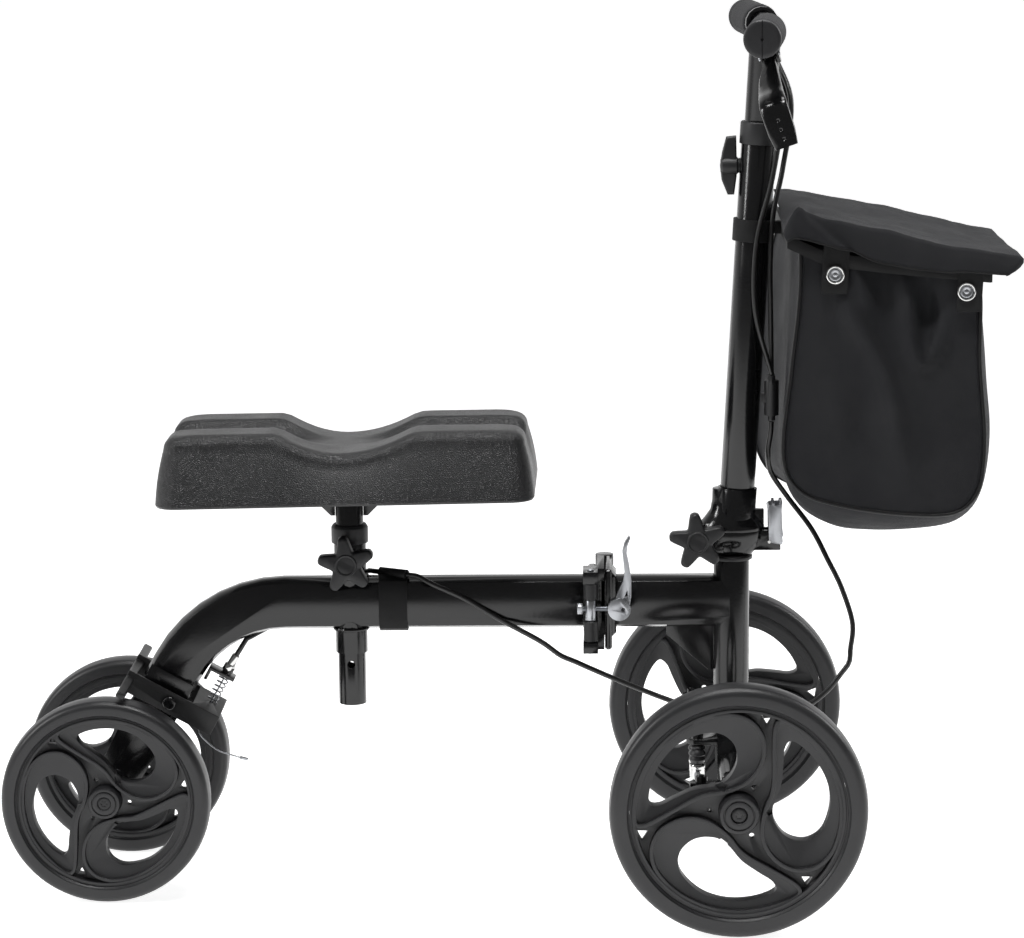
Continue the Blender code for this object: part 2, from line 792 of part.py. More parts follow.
def make_strap(root):
    outer = rounded_outline(BEAM_H / 2 + GAP + 0.0022, BEAM_W / 2 + GAP + 0.0022, BEAM_CORNER + 0.002, BEAM_CORNER_STEPS)
    inner = rounded_outline(BEAM_H / 2 + GAP, BEAM_W / 2 + GAP, BEAM_CORNER, BEAM_CORNER_STEPS)
    half = (STRAP_X[1] - STRAP_X[0]) / 2
    place = facing("+X", (sum(STRAP_X) / 2, 0, BEAM_Z))
    strap = outline([outer, inner], half, "cable_strap", place)
    before, after = (Vector((x, y, BEAM_Z + BEAM_H / 2 + CABLE_R + 2 * GAP)) for x, y in STRAP_CROSSING)
    hump = rod(before.lerp(after, 0.14), before.lerp(after, 0.86), CABLE_R + 0.0024, 12, "strap_hump")
    tunnel = rod(before, after, CABLE_R + 2 * GAP, 12, "strap_tunnel")
    seat = outline([inner], 2 * half, "strap_seat", place)
    own(cut(fuse(strap, [hump]), [tunnel, seat]), root, "cloth_black", "cable_strap")


def make_seat(seat):
    post = ring(SEAT_POST_R - 0.0015, SEAT_POST_R, POST_LOW, PLATE_Z - GAP, 20, "seat_post", (SEAT_X, 0, 0))
    hole = rod((SEAT_X, -0.03, POST_HOLE_Z), (SEAT_X, 0.03, POST_HOLE_Z), 0.0037, 12, "post_hole")
    own(cut(post, [hole]), seat, "powder_black", "seat_post")
    plate = block((SEAT_X - 0.085, -0.050, PLATE_Z), (SEAT_X + 0.085, 0.050, PLATE_Z + PLATE_T), "seat_plate", 0.0008)
    ribs = []
    for sign in (-1, 1):
        start = sign * (SEAT_POST_R + GAP)
        loop = [(start, 0.0), (start, -0.022), (start + sign * 0.004, -0.022), (start + sign * 0.026, 0.0)]
        ribs.append(outline([loop], 0.002, "seat_gusset", facing("-Y", (SEAT_X, 0, PLATE_Z + 0.0005))))
    own(fuse(plate, ribs), seat, "powder_black", "seat_plate")


def pad_height(along, across):
    """Height of the pad's top, from its middle: two long ridges, a valley between them and a dip halfway."""
    ridge = 0.55
    dip = 0.5 * (1 + math.cos(min(1.0, abs(along) / 0.40) * math.pi))
    valley = max(0.0, 1 - (abs(across) / ridge) ** 2) ** 1.3
    high = PAD_HIGH - 0.0225 * dip - 0.0095 * valley * (1 - 0.35 * dip)
    return high


def make_pad(seat):
    """One moulded saddle pad: rings of points up its tapering sides and a grid that closes the top."""
    columns, rows = 18, 10
    work = bmesh.new()
    levels = ((0.0, 0.985), (0.003, 1.0), (0.012, 0.988), (0.040, 0.935), (0.052, 0.900))

    def edge_loop():
        places = []
        for i in range(columns):
            places.append((-1 + 2 * i / columns, -1))
        for j in range(rows):
            places.append((1, -1 + 2 * j / rows))
        for i in range(columns):
            places.append((1 - 2 * i / columns, 1))
        for j in range(rows):
            places.append((-1, 1 - 2 * j / rows))
        return places

    def placed(u, v, inset_x, inset_y, height):
        corner = 1 - 0.06 * (u * u * v * v) ** 3
        return Vector((SEAT_X + PAD_FORWARD + u * corner * inset_x, v * corner * inset_y, height))

    half_x, half_y = PAD_LENGTH / 2, PAD_WIDTH / 2
    loops = []
    for rise, share in levels:
        loop = []
        for u, v in edge_loop():
            top = pad_height(u * 0.9, v * 0.9)
            level = PAD_LOW + rise / (PAD_HIGH - PAD_LOW) * (top - PAD_LOW)
            shrink = half_y * (1 - share) * 1.5
            loop.append(work.verts.new(placed(u, v, half_x - shrink, half_y - shrink, level)))
        loops.append(loop)
    grid = {}
    for i in range(columns + 1):
        for j in range(rows + 1):
            u, v = -1 + 2 * i / columns, -1 + 2 * j / rows
            if abs(u) == 1 or abs(v) == 1:
                continue
            height = pad_height(u * 0.92, v * 0.92)
            grid[i, j] = work.verts.new(placed(u, v, half_x - 0.0200, half_y - 0.0200, height))
    last = loops[-1]
    for i in range(columns):
        grid[i, 0] = last[i]
        grid[columns - i, rows] = last[columns + rows + i]
    for j in range(rows):
        grid[columns, j] = last[columns + j]
        grid[0, rows - j] = last[2 * columns + rows + j]
    for i in range(columns):
        for j in range(rows):
            work.faces.new((grid[i, j], grid[i + 1, j], grid[i + 1, j + 1], grid[i, j + 1]))
    for lower, upper in zip(loops, loops[1:]):
        count = len(lower)
        for k in range(count):
            work.faces.new((lower[k], lower[(k + 1) % count], upper[(k + 1) % count], upper[k]))
    work.faces.new(loops[0])
    pad = smooth(mesh_object("knee_pad", work), 60)
    own(pad, seat, "pad_black")


def star_outline():
    loop = []
    count = 30
    for number in range(count):
        angle = 2 * math.pi * number / count + math.radians(97)
        lobe = (0.5 + 0.5 * math.cos(5 * (angle - math.radians(97)))) ** 0.9
        reach = KNOB_R * (0.56 + 0.44 * lobe)
        loop.append((reach * math.cos(angle), reach * math.sin(angle)))
    return loop


def make_star_knob(name, body, x, z, near, shaft_end, shaft_r=0.004):
    """A five-lobed knob on its threaded shaft; near is the y of its inner face."""
    place = facing("-Y", (x, near - KNOB_T / 2, z))
    star = outline([star_outline()], KNOB_T / 2, name, place, rounding=0.0018)
    boss = rod((x, near - KNOB_T - 0.0012, z), (x, near - 0.002, z), 0.0095, 12, "knob_boss")
    neck = rod((x, near - 0.002, z), (x, near + 0.003, z), 0.008, 12, "knob_neck")
    shaft = rod((x, near, z), (x, shaft_end, z), shaft_r, 10, "knob_shaft")
    own(fuse(star, [boss, neck, shaft]), body, "knob_black", name)


# Latch and hinge in the middle of the frame
FRONT_FACE = HINGE_X + GAP + FLANGE
CAM_R = 0.0105
CAM_HALF = 0.0055
CAM_X = HINGE_X + 0.0031 + CAM_R
FRONT_FLANGE_Y = LATCH_Y + CAM_HALF + 0.0005
CAM_PIVOT_X = CAM_X + 0.0035


def casting_block(x0, x1, half_y, half_z, edge, name):
    return block((x0, -half_y, BEAM_Z - half_z), (x1, half_y, BEAM_Z + half_z), name, edge)


def make_rear_hinge(root):
    face = HINGE_X - GAP
    flange = block((face - FLANGE, -0.029, HINGE_LOW), (face, 0.030, HINGE_HIGH), "rear_flange")
    collar = casting_block(-0.1370, face - 0.003, 0.0235, 0.031, 0.006, "rear_collar")
    middle = (HINGE_LOW + HINGE_HIGH) / 2
    knuckles = []
    for low, high in ((HINGE_LOW, middle - 0.017), (middle + 0.017, HINGE_HIGH)):
        knuckles.append(rod((HINGE_X, HINGE_PIN_Y, low), (HINGE_X, HINGE_PIN_Y, high), 0.0085, 12, "rear_knuckle"))
        knuckles.append(block((face - FLANGE, 0.020, low), (face - 0.001, HINGE_PIN_Y, high), "knuckle_root"))
    lugs = []
    for low, high in ((HINGE_LOW, LATCH_Z - 0.031), (LATCH_Z + 0.0245, HINGE_HIGH)):
        lugs.append(block((-0.1370, LATCH_Y - 0.008, low), (-0.1235, -0.015, high), "latch_lug"))
    pin = rod((HINGE_X, HINGE_PIN_Y, HINGE_LOW + 0.002), (HINGE_X, HINGE_PIN_Y, HINGE_HIGH - 0.002), HINGE_PIN_R, 12)
    seat = outline(
        [rounded_outline(BEAM_H / 2 + GAP, BEAM_W / 2 + GAP, BEAM_CORNER, BEAM_CORNER_STEPS)],
        0.020,
        "beam_seat",
        facing("+X", (face - FLANGE - 0.020, 0, BEAM_Z)),
    )
    hole = rod((LATCH_X, LATCH_Y, 0.2), (LATCH_X, LATCH_Y, 0.32), 0.003 + GAP, 12, "latch_hole")
    low, high = (Vector((HINGE_X, HINGE_PIN_Y, middle + rise)) for rise in (-0.017, 0.017))
    room = rod(low, high, 0.0085 + 3 * GAP, 12, "room")
    window = block((face - 0.0025, -0.05, LATCH_Z - 0.014), (face + 0.01, 0.0240, LATCH_Z + 0.024), "sight_gap")
    own(
        fuse(cut(fuse(flange, [collar] + knuckles + lugs), [seat, hole, window, room]), [pin]),
        root,
        "casting_black",
        "rear_hinge_casting",
    )


def make_front_hinge(front):
    face = HINGE_X + GAP
    middle = (HINGE_LOW + HINGE_HIGH) / 2
    flange = block((face, FRONT_FLANGE_Y, HINGE_LOW), (face + FLANGE, 0.030, HINGE_HIGH), "front_flange", 0.002)
    collar = casting_block(face + 0.003, face + FLANGE + 0.004, 0.0225, 0.030, 0.005, "front_collar")
    low, high = middle - 0.0165, middle + 0.0165
    knuckle = rod((HINGE_X, HINGE_PIN_Y, low), (HINGE_X, HINGE_PIN_Y, high), 0.0085, 12, "front_knuckle")
    root_block = block((face + 0.001, 0.020, low), (face + FLANGE, HINGE_PIN_Y, high), "front_knuckle_root")
    pin_hole = rod((HINGE_X, HINGE_PIN_Y, 0.2), (HINGE_X, HINGE_PIN_Y, 0.32), HINGE_PIN_R + GAP, 12, "pin_hole")
    seat = outline(
        [rounded_outline(BEAM_H / 2 + GAP, BEAM_W / 2 + GAP, BEAM_CORNER, BEAM_CORNER_STEPS)],
        0.020,
        "front_beam_seat",
        facing("+X", (FRONT_FACE - 0.004 - GAP + 0.020, 0, BEAM_Z)),
    )
    swing_room = []
    for z0, z1 in ((HINGE_LOW - 0.01, low - GAP), (high + GAP, HINGE_HIGH + 0.01)):
        swing_room.append(
            rod((HINGE_X, HINGE_PIN_Y, z0), (HINGE_X, HINGE_PIN_Y, z1), 0.0085 + 3 * GAP, 12, "knuckle_room")
        )
    own(
        cut(fuse(flange, [collar, knuckle, root_block]), [pin_hole, seat] + swing_room),
        front,
        "casting_black",
        "front_hinge_casting",
    )


def make_swing_bolt(swing):
    profile = [
        (0, HINGE_HIGH + 0.0015),
        (0.003, HINGE_HIGH + 0.0015),
        (0.003, LATCH_Z + 0.0242),
        (0.0063, LATCH_Z + 0.0242),
        (0.0063, LATCH_Z + 0.009),
        (0.0040, LATCH_Z + 0.009),
        (0.0040, LATCH_Z - 0.0115),
        (0.0063, LATCH_Z - 0.0115),
        (0.0063, LATCH_Z - 0.0307),
        (0.003, LATCH_Z - 0.0307),
        (0.003, HINGE_LOW - 0.0015),
        (0, HINGE_LOW - 0.0015),
    ]
    barrel = as_mesh(turned(profile, 12, "swing_barrel", facing("+Z", (LATCH_X, LATCH_Y, 0)), closed=False))
    at = (LATCH_Y, LATCH_Z)
    bolt = rod((LATCH_X - 0.010, *at), (CAM_PIVOT_X, *at), SWING_ROD_R, 9, "swing_rod")
    nut = rod((LATCH_X - 0.0122, *at), (LATCH_X - 0.0073, *at), 0.0051, 6, "swing_nut")
    eye = rod((CAM_PIVOT_X, LATCH_Y - 0.0025, LATCH_Z), (CAM_PIVOT_X, LATCH_Y + 0.0025, LATCH_Z), 0.0030, 12, "eye")
    trunnion = rod((CAM_PIVOT_X, LATCH_Y - 0.0062, LATCH_Z), (CAM_PIVOT_X, LATCH_Y + 0.0062, LATCH_Z), 0.0016, 10)
    own(fuse(barrel, [bolt, nut, eye, trunnion]), swing, "zinc", "swing_bolt")


LEVER_OUTLINE = (
    (0.0080, -0.0060),
    (0.0110, 0.0120),
    (0.0112, 0.0270),
    (0.0090, 0.0420),
    (0.0070, 0.0520),
    (0.0080, 0.0600),
    (0.0105, 0.0665),
    (0.0090, 0.0680),
    (0.0050, 0.0620),
    (0.0030, 0.0540),
    (0.0040, 0.0440),
    (0.0050, 0.0340),
    (0.0036, 0.0260),
    (0.0000, 0.0185),
    (-0.0050, 0.0060),
)


def make_cam_lever(cam):
    place = facing("-Y", (CAM_X, LATCH_Y, LATCH_Z))
    disc = outline([circle(CAM_R, 20)], CAM_HALF, "cam_disc", place)
    arm = outline([list(LEVER_OUTLINE)], 0.0042, "cam_arm", place)
    eyelet = outline([[(0.0045, 0.0105), (0.0080, 0.0110), (0.0075, 0.0180)]], 0.02, "eyelet", place)
    hole = rod((CAM_PIVOT_X, LATCH_Y - 0.02, LATCH_Z), (CAM_PIVOT_X, LATCH_Y + 0.02, LATCH_Z), 0.0016 + GAP, 10)
    slot = block(
        (CAM_X - 0.02, LATCH_Y - 0.0029, LATCH_Z - 0.02),
        (CAM_PIVOT_X + 0.0036, LATCH_Y + 0.0029, LATCH_Z + 0.0040),
        "cam_slot",
    )
    own(cut(fuse(disc, [arm]), [eyelet, hole, slot]), cam, "zinc", "cam_lever")


# Front half and steering
BRIDGE_TOP = HEAD_LOW - GAP
BRIDGE_PLATE = 0.005
BRIDGE_SIDE = 0.037
KNUCKLE_T = 0.005
FRONT_HUB_HALF = 0.019
BEARING_T = 0.0045
FOLD_LOW = HEAD_HIGH + GAP + BEARING_T + GAP


def make_front_frame(front):
    """The short front beam, cut round the head tube, with the gusset plate that is welded under it."""
    bar = beam([(FRONT_FACE - 0.004, 0, BEAM_Z), (-0.002, 0, BEAM_Z)], "front_beam")
    head_hole = rod((0, 0, HEAD_LOW - 0.06), (0, 0, HEAD_HIGH + 0.01), HEAD_R + GAP, 24, "head_hole")
    low = BEAM_Z - BEAM_H / 2 + 0.001
    loop = [(-0.060, low), (-0.012, low), (-0.012, 0.195), (-0.0215, 0.195), (-0.060, 0.2285)]
    plate = outline([loop], 0.0025, "gusset_plate", facing("-Y", (0, 0, 0)))
    own(cut(fuse(bar, [plate]), [head_hole]), front, "powder_black", "front_beam")


def make_head(front):
    tube_body = ring(STEERER_R + GAP, HEAD_R, HEAD_LOW, HEAD_HIGH, 24, "head_tube")
    own(tube_body, front, "powder_black", "head_tube")
    bearing = turned(
        [
            (STEERER_R + GAP, HEAD_HIGH + GAP + BEARING_T),
            (0.0170, HEAD_HIGH + GAP + BEARING_T),
            (0.0195, HEAD_HIGH + GAP + BEARING_T - 0.0012),
            (0.0195, HEAD_HIGH + GAP),
            (STEERER_R + GAP, HEAD_HIGH + GAP),
        ],
        20,
        "head_bearing",
    )
    own(bearing, front, "knob_black")


def make_bridge(front):
    """The welded cross member: top plate, two side plates, cross tube and king-pin barrels."""
    top = block((-0.014, -BRIDGE_SIDE, BRIDGE_TOP - BRIDGE_PLATE), (0.020, BRIDGE_SIDE, BRIDGE_TOP), "top_plate")
    sides = []
    for sign in (-1, 1):
        loop = [(-0.014, 0.097), (0.020, 0.097), (0.020, BRIDGE_TOP - 0.001), (-0.014, BRIDGE_TOP - 0.001)]
        middle = sign * (BRIDGE_SIDE - 0.0025)
        sides.append(outline([loop], 0.0025, "side_plate", facing("-Y", (0, middle, 0))))
    reach = KING_PIN_Y - BARREL_R + 0.003
    cross = rod((0, -reach, CROSS_Z), (0, reach, CROSS_Z), CROSS_R, 18, "cross_tube")
    barrels = []
    bores = []
    for sign in (-1, 1):
        y = sign * KING_PIN_Y
        barrels.append(rod((0, y, CROSS_Z - BARREL_HALF), (0, y, CROSS_Z + BARREL_HALF), BARREL_R, 14, "barrel"))
        bores.append(rod((0, y, 0.08), (0, y, 0.14), KING_PIN_R + GAP, 10, "king_pin_bore"))
    hole = rod((0, 0, 0.127), (0, 0, 0.16), STEERER_R + 0.001, 18, "steerer_hole")
    own(cut(fuse(cross, [top] + sides + barrels), bores + [hole]), front, "powder_black", "steering_bridge")


def make_steerer(fork):
    """The steerer tube with its welded steering plate, whose two studs carry the tie rods."""
    shaft = rod((0, 0, PITMAN_Z - PITMAN_T / 2), (0, 0, FOLD_LOW + 0.010), STEERER_R, 20, "steerer")
    half = PITMAN_T / 2
    loop = [(-0.042, -0.008), (-0.036, -0.016), (0.006, -0.0160), (0.0135, -0.010), (0.0135, 0.010), (0.006, 0.0160)]
    loop += [(-0.036, 0.016), (-0.042, 0.008)]
    plate = outline([loop], half, "steering_plate", facing("+Z", (0, 0, PITMAN_Z)))
    studs = [ball_stud(ARM.x, sign * ARM.y) for sign in (-1, 1)]
    own(fuse(shaft, [plate] + studs), fork, "powder_black", "steerer_and_plate")


def ball_stud(x, y):
    """A nut on top of a plate and the stud under it, down to the ball joint's socket."""
    top = PITMAN_Z + PITMAN_T / 2
    return turned(
        [
            (0, top + 0.0065),
            (0.0030, top + 0.0065),
            (0.0030, top + 0.0050),
            (0.0055, top + 0.0050),
            (0.0055, top - 0.001),
            (0.0030, top - 0.001),
            (0.0030, TIE_ROD_Z + 0.0085),
            (0, TIE_ROD_Z + 0.0085),
        ],
        8,
        "ball_stud",
        facing("+Z", (x, y, 0)),
        closed=False,
    )


def make_tie_rod(side, sign, body):
    inner = Vector((ARM.x, sign * ARM.y, TIE_ROD_Z))
    outer = Vector((ARM.x, sign * (KING_PIN_Y + ARM.y), TIE_ROD_Z))
    sockets = []
    bores = []
    for end in (inner, outer):
        profile = [
            (0, TIE_ROD_Z + 0.0270),
            (0.0062, TIE_ROD_Z + 0.0270),
            (0.0080, TIE_ROD_Z + 0.0200),
            (0.0066, TIE_ROD_Z + 0.0130),
            (0.0074, TIE_ROD_Z + 0.0070),
            (0.0074, TIE_ROD_Z - 0.0060),
            (0, TIE_ROD_Z - 0.0060),
        ]
        sockets.append(turned(profile, 12, "joint_boot", facing("+Z", (end.x, end.y, 0)), closed=False))
        bore = rod((end.x, end.y, TIE_ROD_Z + 0.008), (end.x, end.y, 0.14), 0.0030 + GAP, 8, "stud_hole")
        bores.append(bore)
    rod_body = rod(inner, outer, TIE_ROD_R, 10, f"{side}_tie_rod")
    own(cut(fuse(rod_body, sockets), bores), body, "zinc", f"{side}_tie_rod")


def make_knuckle(side, sign, body):
    """Steering knuckle: an upright plate with a fork round the barrel, king pin, steering arm and axle."""
    y = sign * KING_PIN_Y
    low, high = CROSS_Z - BARREL_HALF - GAP, CROSS_Z + BARREL_HALF + GAP
    out0, out1 = sorted((sign * 0.161, sign * 0.166))
    upright = block((-0.014, out0, low - KNUCKLE_T), (0.014, out1, high + KNUCKLE_T), "upright")
    arms = []
    for z0, z1 in ((low - KNUCKLE_T, low), (high, high + KNUCKLE_T)):
        loop = [(0.012, sign * 0.163), (-0.012, sign * 0.163)]
        for step in range(6):
            turn = math.pi * (1 - step / 5)
            loop.append((0.012 * math.cos(turn), sign * (0.150 - 0.012 * math.sin(turn))))
        arms.append(outline([loop], (z1 - z0) / 2, "fork_arm", facing("+Z", (0, 0, (z0 + z1) / 2))))
    pin = rod((0, y, low - KNUCKLE_T - 0.003), (0, y, high + KNUCKLE_T + 0.004), KING_PIN_R, 10, "king_pin")
    far = sign * (KING_PIN_Y + ARM.y)
    plate = PITMAN_T / 2
    sweep = [(-0.010, sign * 0.156), (-0.010, sign * 0.166), (-0.032, sign * 0.170), (-0.042, sign * 0.165)]
    sweep += [(-0.042, sign * 0.155), (-0.032, sign * 0.150)]
    arm = outline([sweep], plate, "steering_arm", facing("+Z", (0, 0, PITMAN_Z)))
    stud = ball_stud(ARM.x, far)
    end = sign * (FRONT_TRACK / 2 + FRONT_HUB_HALF - 0.006 + GAP)
    axle = turned(
        [
            (0, abs(end) + 0.0045),
            (0.0058, abs(end) + 0.0045),
            (0.0072, abs(end) + 0.0027),
            (0.0072, abs(end)),
            (AXLE_R, abs(end)),
            (AXLE_R, 0.163),
            (0, 0.163),
        ],
        12,
        "stub_axle",
        facing("+Y" if sign > 0 else "-Y", (0, 0, FRONT_WHEEL_R)),
        closed=False,
    )
    shoulder_end = sign * (FRONT_TRACK / 2 - FRONT_HUB_HALF + 0.002 - GAP)
    shoulder = rod((0, sign * 0.164, FRONT_WHEEL_R), (0, shoulder_end, FRONT_WHEEL_R), 0.0095, 12, "shoulder")
    own(
        fuse(upright, arms + [pin, arm, stud, shoulder, axle]),
        body,
        "powder_black",
        f"{side}_knuckle",
    )


# Folding head and column
LEAN = Matrix.Translation((0.0029, 0, FOLD_Z)) @ Matrix.Rotation(COLUMN_LEAN, 4, "Y")
HEAD_TOP_Z = 0.367
LATCH_PIN_X = 0.0410
LATCH_PIN_Z = 0.3180
LUG_R = 0.0095
HEAD_FLATNESS = 0.72


def on_column(height):
    """Centre of the leaning column at a world height."""
    return Vector((0.0029 + (height - FOLD_Z) * math.tan(COLUMN_LEAN), 0, height))


def along_column(height):
    return (height - FOLD_Z) / math.cos(COLUMN_LEAN)


def lean_ring(inner, outer, low, high, steps, name):
    profile = [(inner, along_column(high)), (outer, along_column(high))]
    profile += [(outer, along_column(low)), (inner, along_column(low))]
    return turned(profile, steps, name, LEAN)


def make_fold_base(fork):
    """Lower casting on the steerer, with two lugs behind for the fold pin and an ear in front for the latch."""
    profile = [
        (STEERER_R - 0.001, SEAM_Z - GAP),
        (0.0300, SEAM_Z - GAP),
        (0.0300, 0.3200),
        (0.0262, 0.3125),
        (0.0215, 0.3070),
        (0.0200, FOLD_LOW),
        (STEERER_R - 0.001, FOLD_LOW),
    ]
    bowl = turned(profile, 24, "fold_bowl", Matrix.Diagonal((1, HEAD_FLATNESS, 1, 1)))
    lugs = []
    for sign in (-1, 1):
        place = facing("-Y", (0, sign * 0.0160, 0))
        loop = [(-0.0080, FOLD_LOW + 0.0040), (-0.0080, SEAM_Z - GAP), (-0.0292, SEAM_Z - GAP)]
        for step in range(6):
            turn = math.radians(102 + 155 * step / 5)
            loop.append((FOLD_X + LUG_R * math.cos(turn), FOLD_Z + LUG_R * math.sin(turn)))
        lugs.append(outline([loop], 0.0040, "fold_lug", place))
    ears = []
    for sign in (-1, 1):
        y0, y1 = sorted((sign * 0.0095, sign * 0.0055))
        ears.append(block((0.020, y0, 0.3095), (LATCH_PIN_X + 0.004, y1, SEAM_Z - GAP), "latch_ear"))
    tongue_room = block((FOLD_X - 0.02, -0.0120, 0.300), (-0.0175, 0.0120, 0.345), "tongue_room")
    pin_hole = rod((FOLD_X, -0.03, FOLD_Z), (FOLD_X, 0.03, FOLD_Z), 0.004 + GAP, 12, "fold_pin_hole")
    ear_pin = rod((LATCH_PIN_X, -0.0085, LATCH_PIN_Z), (LATCH_PIN_X, 0.0085, LATCH_PIN_Z), 0.0025, 10, "latch_pin")
    bore = rod((0, 0, FOLD_LOW - 0.01), (0, 0, SEAM_Z + 0.01), STEERER_R + GAP, 20, "steerer_bore")
    slot = block((STEERER_R + 0.006, -0.0052, 0.300), (0.06, 0.0052, SEAM_Z + 0.01), "latch_slot")
    body = cut(fuse(bowl, lugs + ears), [tongue_room, pin_hole, bore, slot])
    own(fuse(body, [ear_pin]), fork, "casting_black", "fold_base")


def make_fold_head(column):
    """Upper casting: a flat-bottomed dome that grips the column, with a tongue behind that swings on the fold pin."""
    profile = [
        (0, 0.3665),
        (0.0175, 0.3665),
        (0.0178, 0.3560),
        (0.0195, 0.3470),
        (0.0245, 0.3400),
        (0.0288, 0.3350),
        (0.0305, 0.3310),
        (0.0305, SEAM_Z),
        (0, SEAM_Z),
    ]
    dome = turned(profile, 24, "fold_dome", Matrix.Diagonal((1, HEAD_FLATNESS, 1, 1)), closed=False)
    collar = rod(on_column(0.338), on_column(HEAD_TOP_Z), COLUMN_R + 0.0022, 24, "fold_collar")
    tongue_loop = [(-0.0180, SEAM_Z), (-0.0120, 0.3410)]
    for step in range(7):
        turn = math.radians(112 + 190 * step / 6)
        tongue_loop.append((FOLD_X + 0.0088 * math.cos(turn), FOLD_Z + 0.0088 * math.sin(turn)))
    place = facing("-Y", (0, 0, 0))
    tongue = outline([tongue_loop], 0.0117, "tongue", place)
    nose = block((0.020, -0.0050, SEAM_Z + 0.0002), (0.0298, 0.0050, 0.3463), "latch_nose")
    pin_hole = rod((FOLD_X, -0.03, FOLD_Z), (FOLD_X, 0.03, FOLD_Z), 0.004 + GAP, 12, "tongue_hole")
    lug_rooms = []
    for near, far in ((-0.0240, -0.0117), (0.0117, 0.0240)):
        lug_rooms.append(rod((FOLD_X, near, FOLD_Z), (FOLD_X, far, FOLD_Z), LUG_R + 2 * GAP, 20, "lug_room"))
    socket = rod(on_column(0.3445), on_column(0.40), COLUMN_R + GAP, 24, "column_socket")
    own(
        cut(fuse(dome, [collar, tongue, nose]), [socket, pin_hole, *lug_rooms]),
        column,
        "casting_black",
        "fold_head",
    )


def make_fold_latch(latch):
    """Pressed-steel latch: two cheeks round the ears, a back plate that ends in a pull lip."""
    cheeks = []
    for sign in (-1, 1):
        place = facing("-Y", (0, sign * 0.0107, 0))
        loop = [
            (LATCH_PIN_X - 0.0060, LATCH_PIN_Z - 0.0050),
            (LATCH_PIN_X + 0.0060, LATCH_PIN_Z - 0.0050),
            (0.0488, 0.3300),
            (0.0480, 0.3480),
            (0.0500, 0.3560),
            (0.0480, 0.3570),
            (0.0420, 0.3520),
            (0.0310, 0.3520),
            (0.0300, 0.3480),
            (0.0330, 0.3300),
        ]
        cheeks.append(outline([loop], 0.0009, "latch_cheek", place))
    back = outline(
        [
            [
                (0.0475, 0.3230),
                (0.0490, 0.3300),
                (0.0482, 0.3480),
                (0.0505, 0.3575),
                (0.0487, 0.3578),
                (0.0462, 0.3480),
                (0.0470, 0.3300),
                (0.0455, 0.3230),
            ]
        ],
        0.0116,
        "latch_back",
        facing("-Y", (0, 0, 0)),
    )
    bar = rod((0.0325, -0.0112, 0.3492), (0.0325, 0.0112, 0.3492), 0.0019, 10, "latch_bar")
    hole = rod((LATCH_PIN_X, -0.02, LATCH_PIN_Z), (LATCH_PIN_X, 0.02, LATCH_PIN_Z), 0.0025 + GAP, 10, "latch_hole")
    own(cut(fuse(back, cheeks + [bar]), [hole]), latch, "zinc", "fold_latch")


def make_column(column):
    inner = COLUMN_R - COLUMN_WALL
    tube_body = lean_ring(inner, COLUMN_R, 0.345, COLUMN_TOP, 24, "column_tube")
    hole = rod(
        on_column(HEIGHT_KNOB_Z) + Vector((-0.03, 0, 0)), on_column(HEIGHT_KNOB_Z), 0.0042, 12, "clamp_screw_hole"
    )
    own(cut(tube_body, [hole]), column, "powder_black", "column_tube")
    top = along_column(COLUMN_TOP)
    low = along_column(COLUMN_TOP - COLUMN_COLLAR)
    outer = COLUMN_R + 0.0018
    profile = [
        (STEM_R + GAP, top + 0.0022),
        (outer - 0.0010, top + 0.0022),
        (outer, top + 0.0010),
        (outer, low),
        (COLUMN_R + GAP, low),
        (COLUMN_R + GAP, top + GAP),
        (STEM_R + GAP, top + GAP),
    ]
    own(turned(profile, 24, "column_collar", LEAN), column, "knob_black")


def make_height_knob(knob):
    """Two-winged screw on the back of the column that clamps the stem."""
    centre = on_column(HEIGHT_KNOB_Z)
    back = centre.x - COLUMN_R
    wing_loop = [(0.0255, 0.0035), (0.0225, 0.0065), (0.009, 0.0080), (-0.009, 0.0080), (-0.0225, 0.0065)]
    wing_loop += [(-0.0255, 0.0035), (-0.0255, -0.0035), (-0.0225, -0.0065), (-0.009, -0.0080), (0.009, -0.0080)]
    wing_loop += [(0.0225, -0.0065), (0.0255, -0.0035)]
    place = facing("-X", (back - 0.0115, 0, HEIGHT_KNOB_Z))
    wings = outline([wing_loop], 0.0065, "knob_wings", place, rounding=0.0015)
    neck = rod((back - 0.006, 0, HEIGHT_KNOB_Z), (back - 0.0012, 0, HEIGHT_KNOB_Z), 0.0080, 18, "knob_neck")
    screw = rod((back - 0.004, 0, HEIGHT_KNOB_Z), (centre.x - STEM_R - GAP, 0, HEIGHT_KNOB_Z), 0.0035, 12, "knob_screw")
    own(fuse(wings, [neck, screw]), knob, "knob_black", "height_knob")


# Bag and its carrier
CARRIER_T = 0.0015
CARRIER_W = 0.006
HANGER_Z = 0.600
CARRIER_ROUTE = ((0.0450, 0.6080), (0.0770, 0.5940), (0.1300, 0.5860), (0.2230, 0.5770))


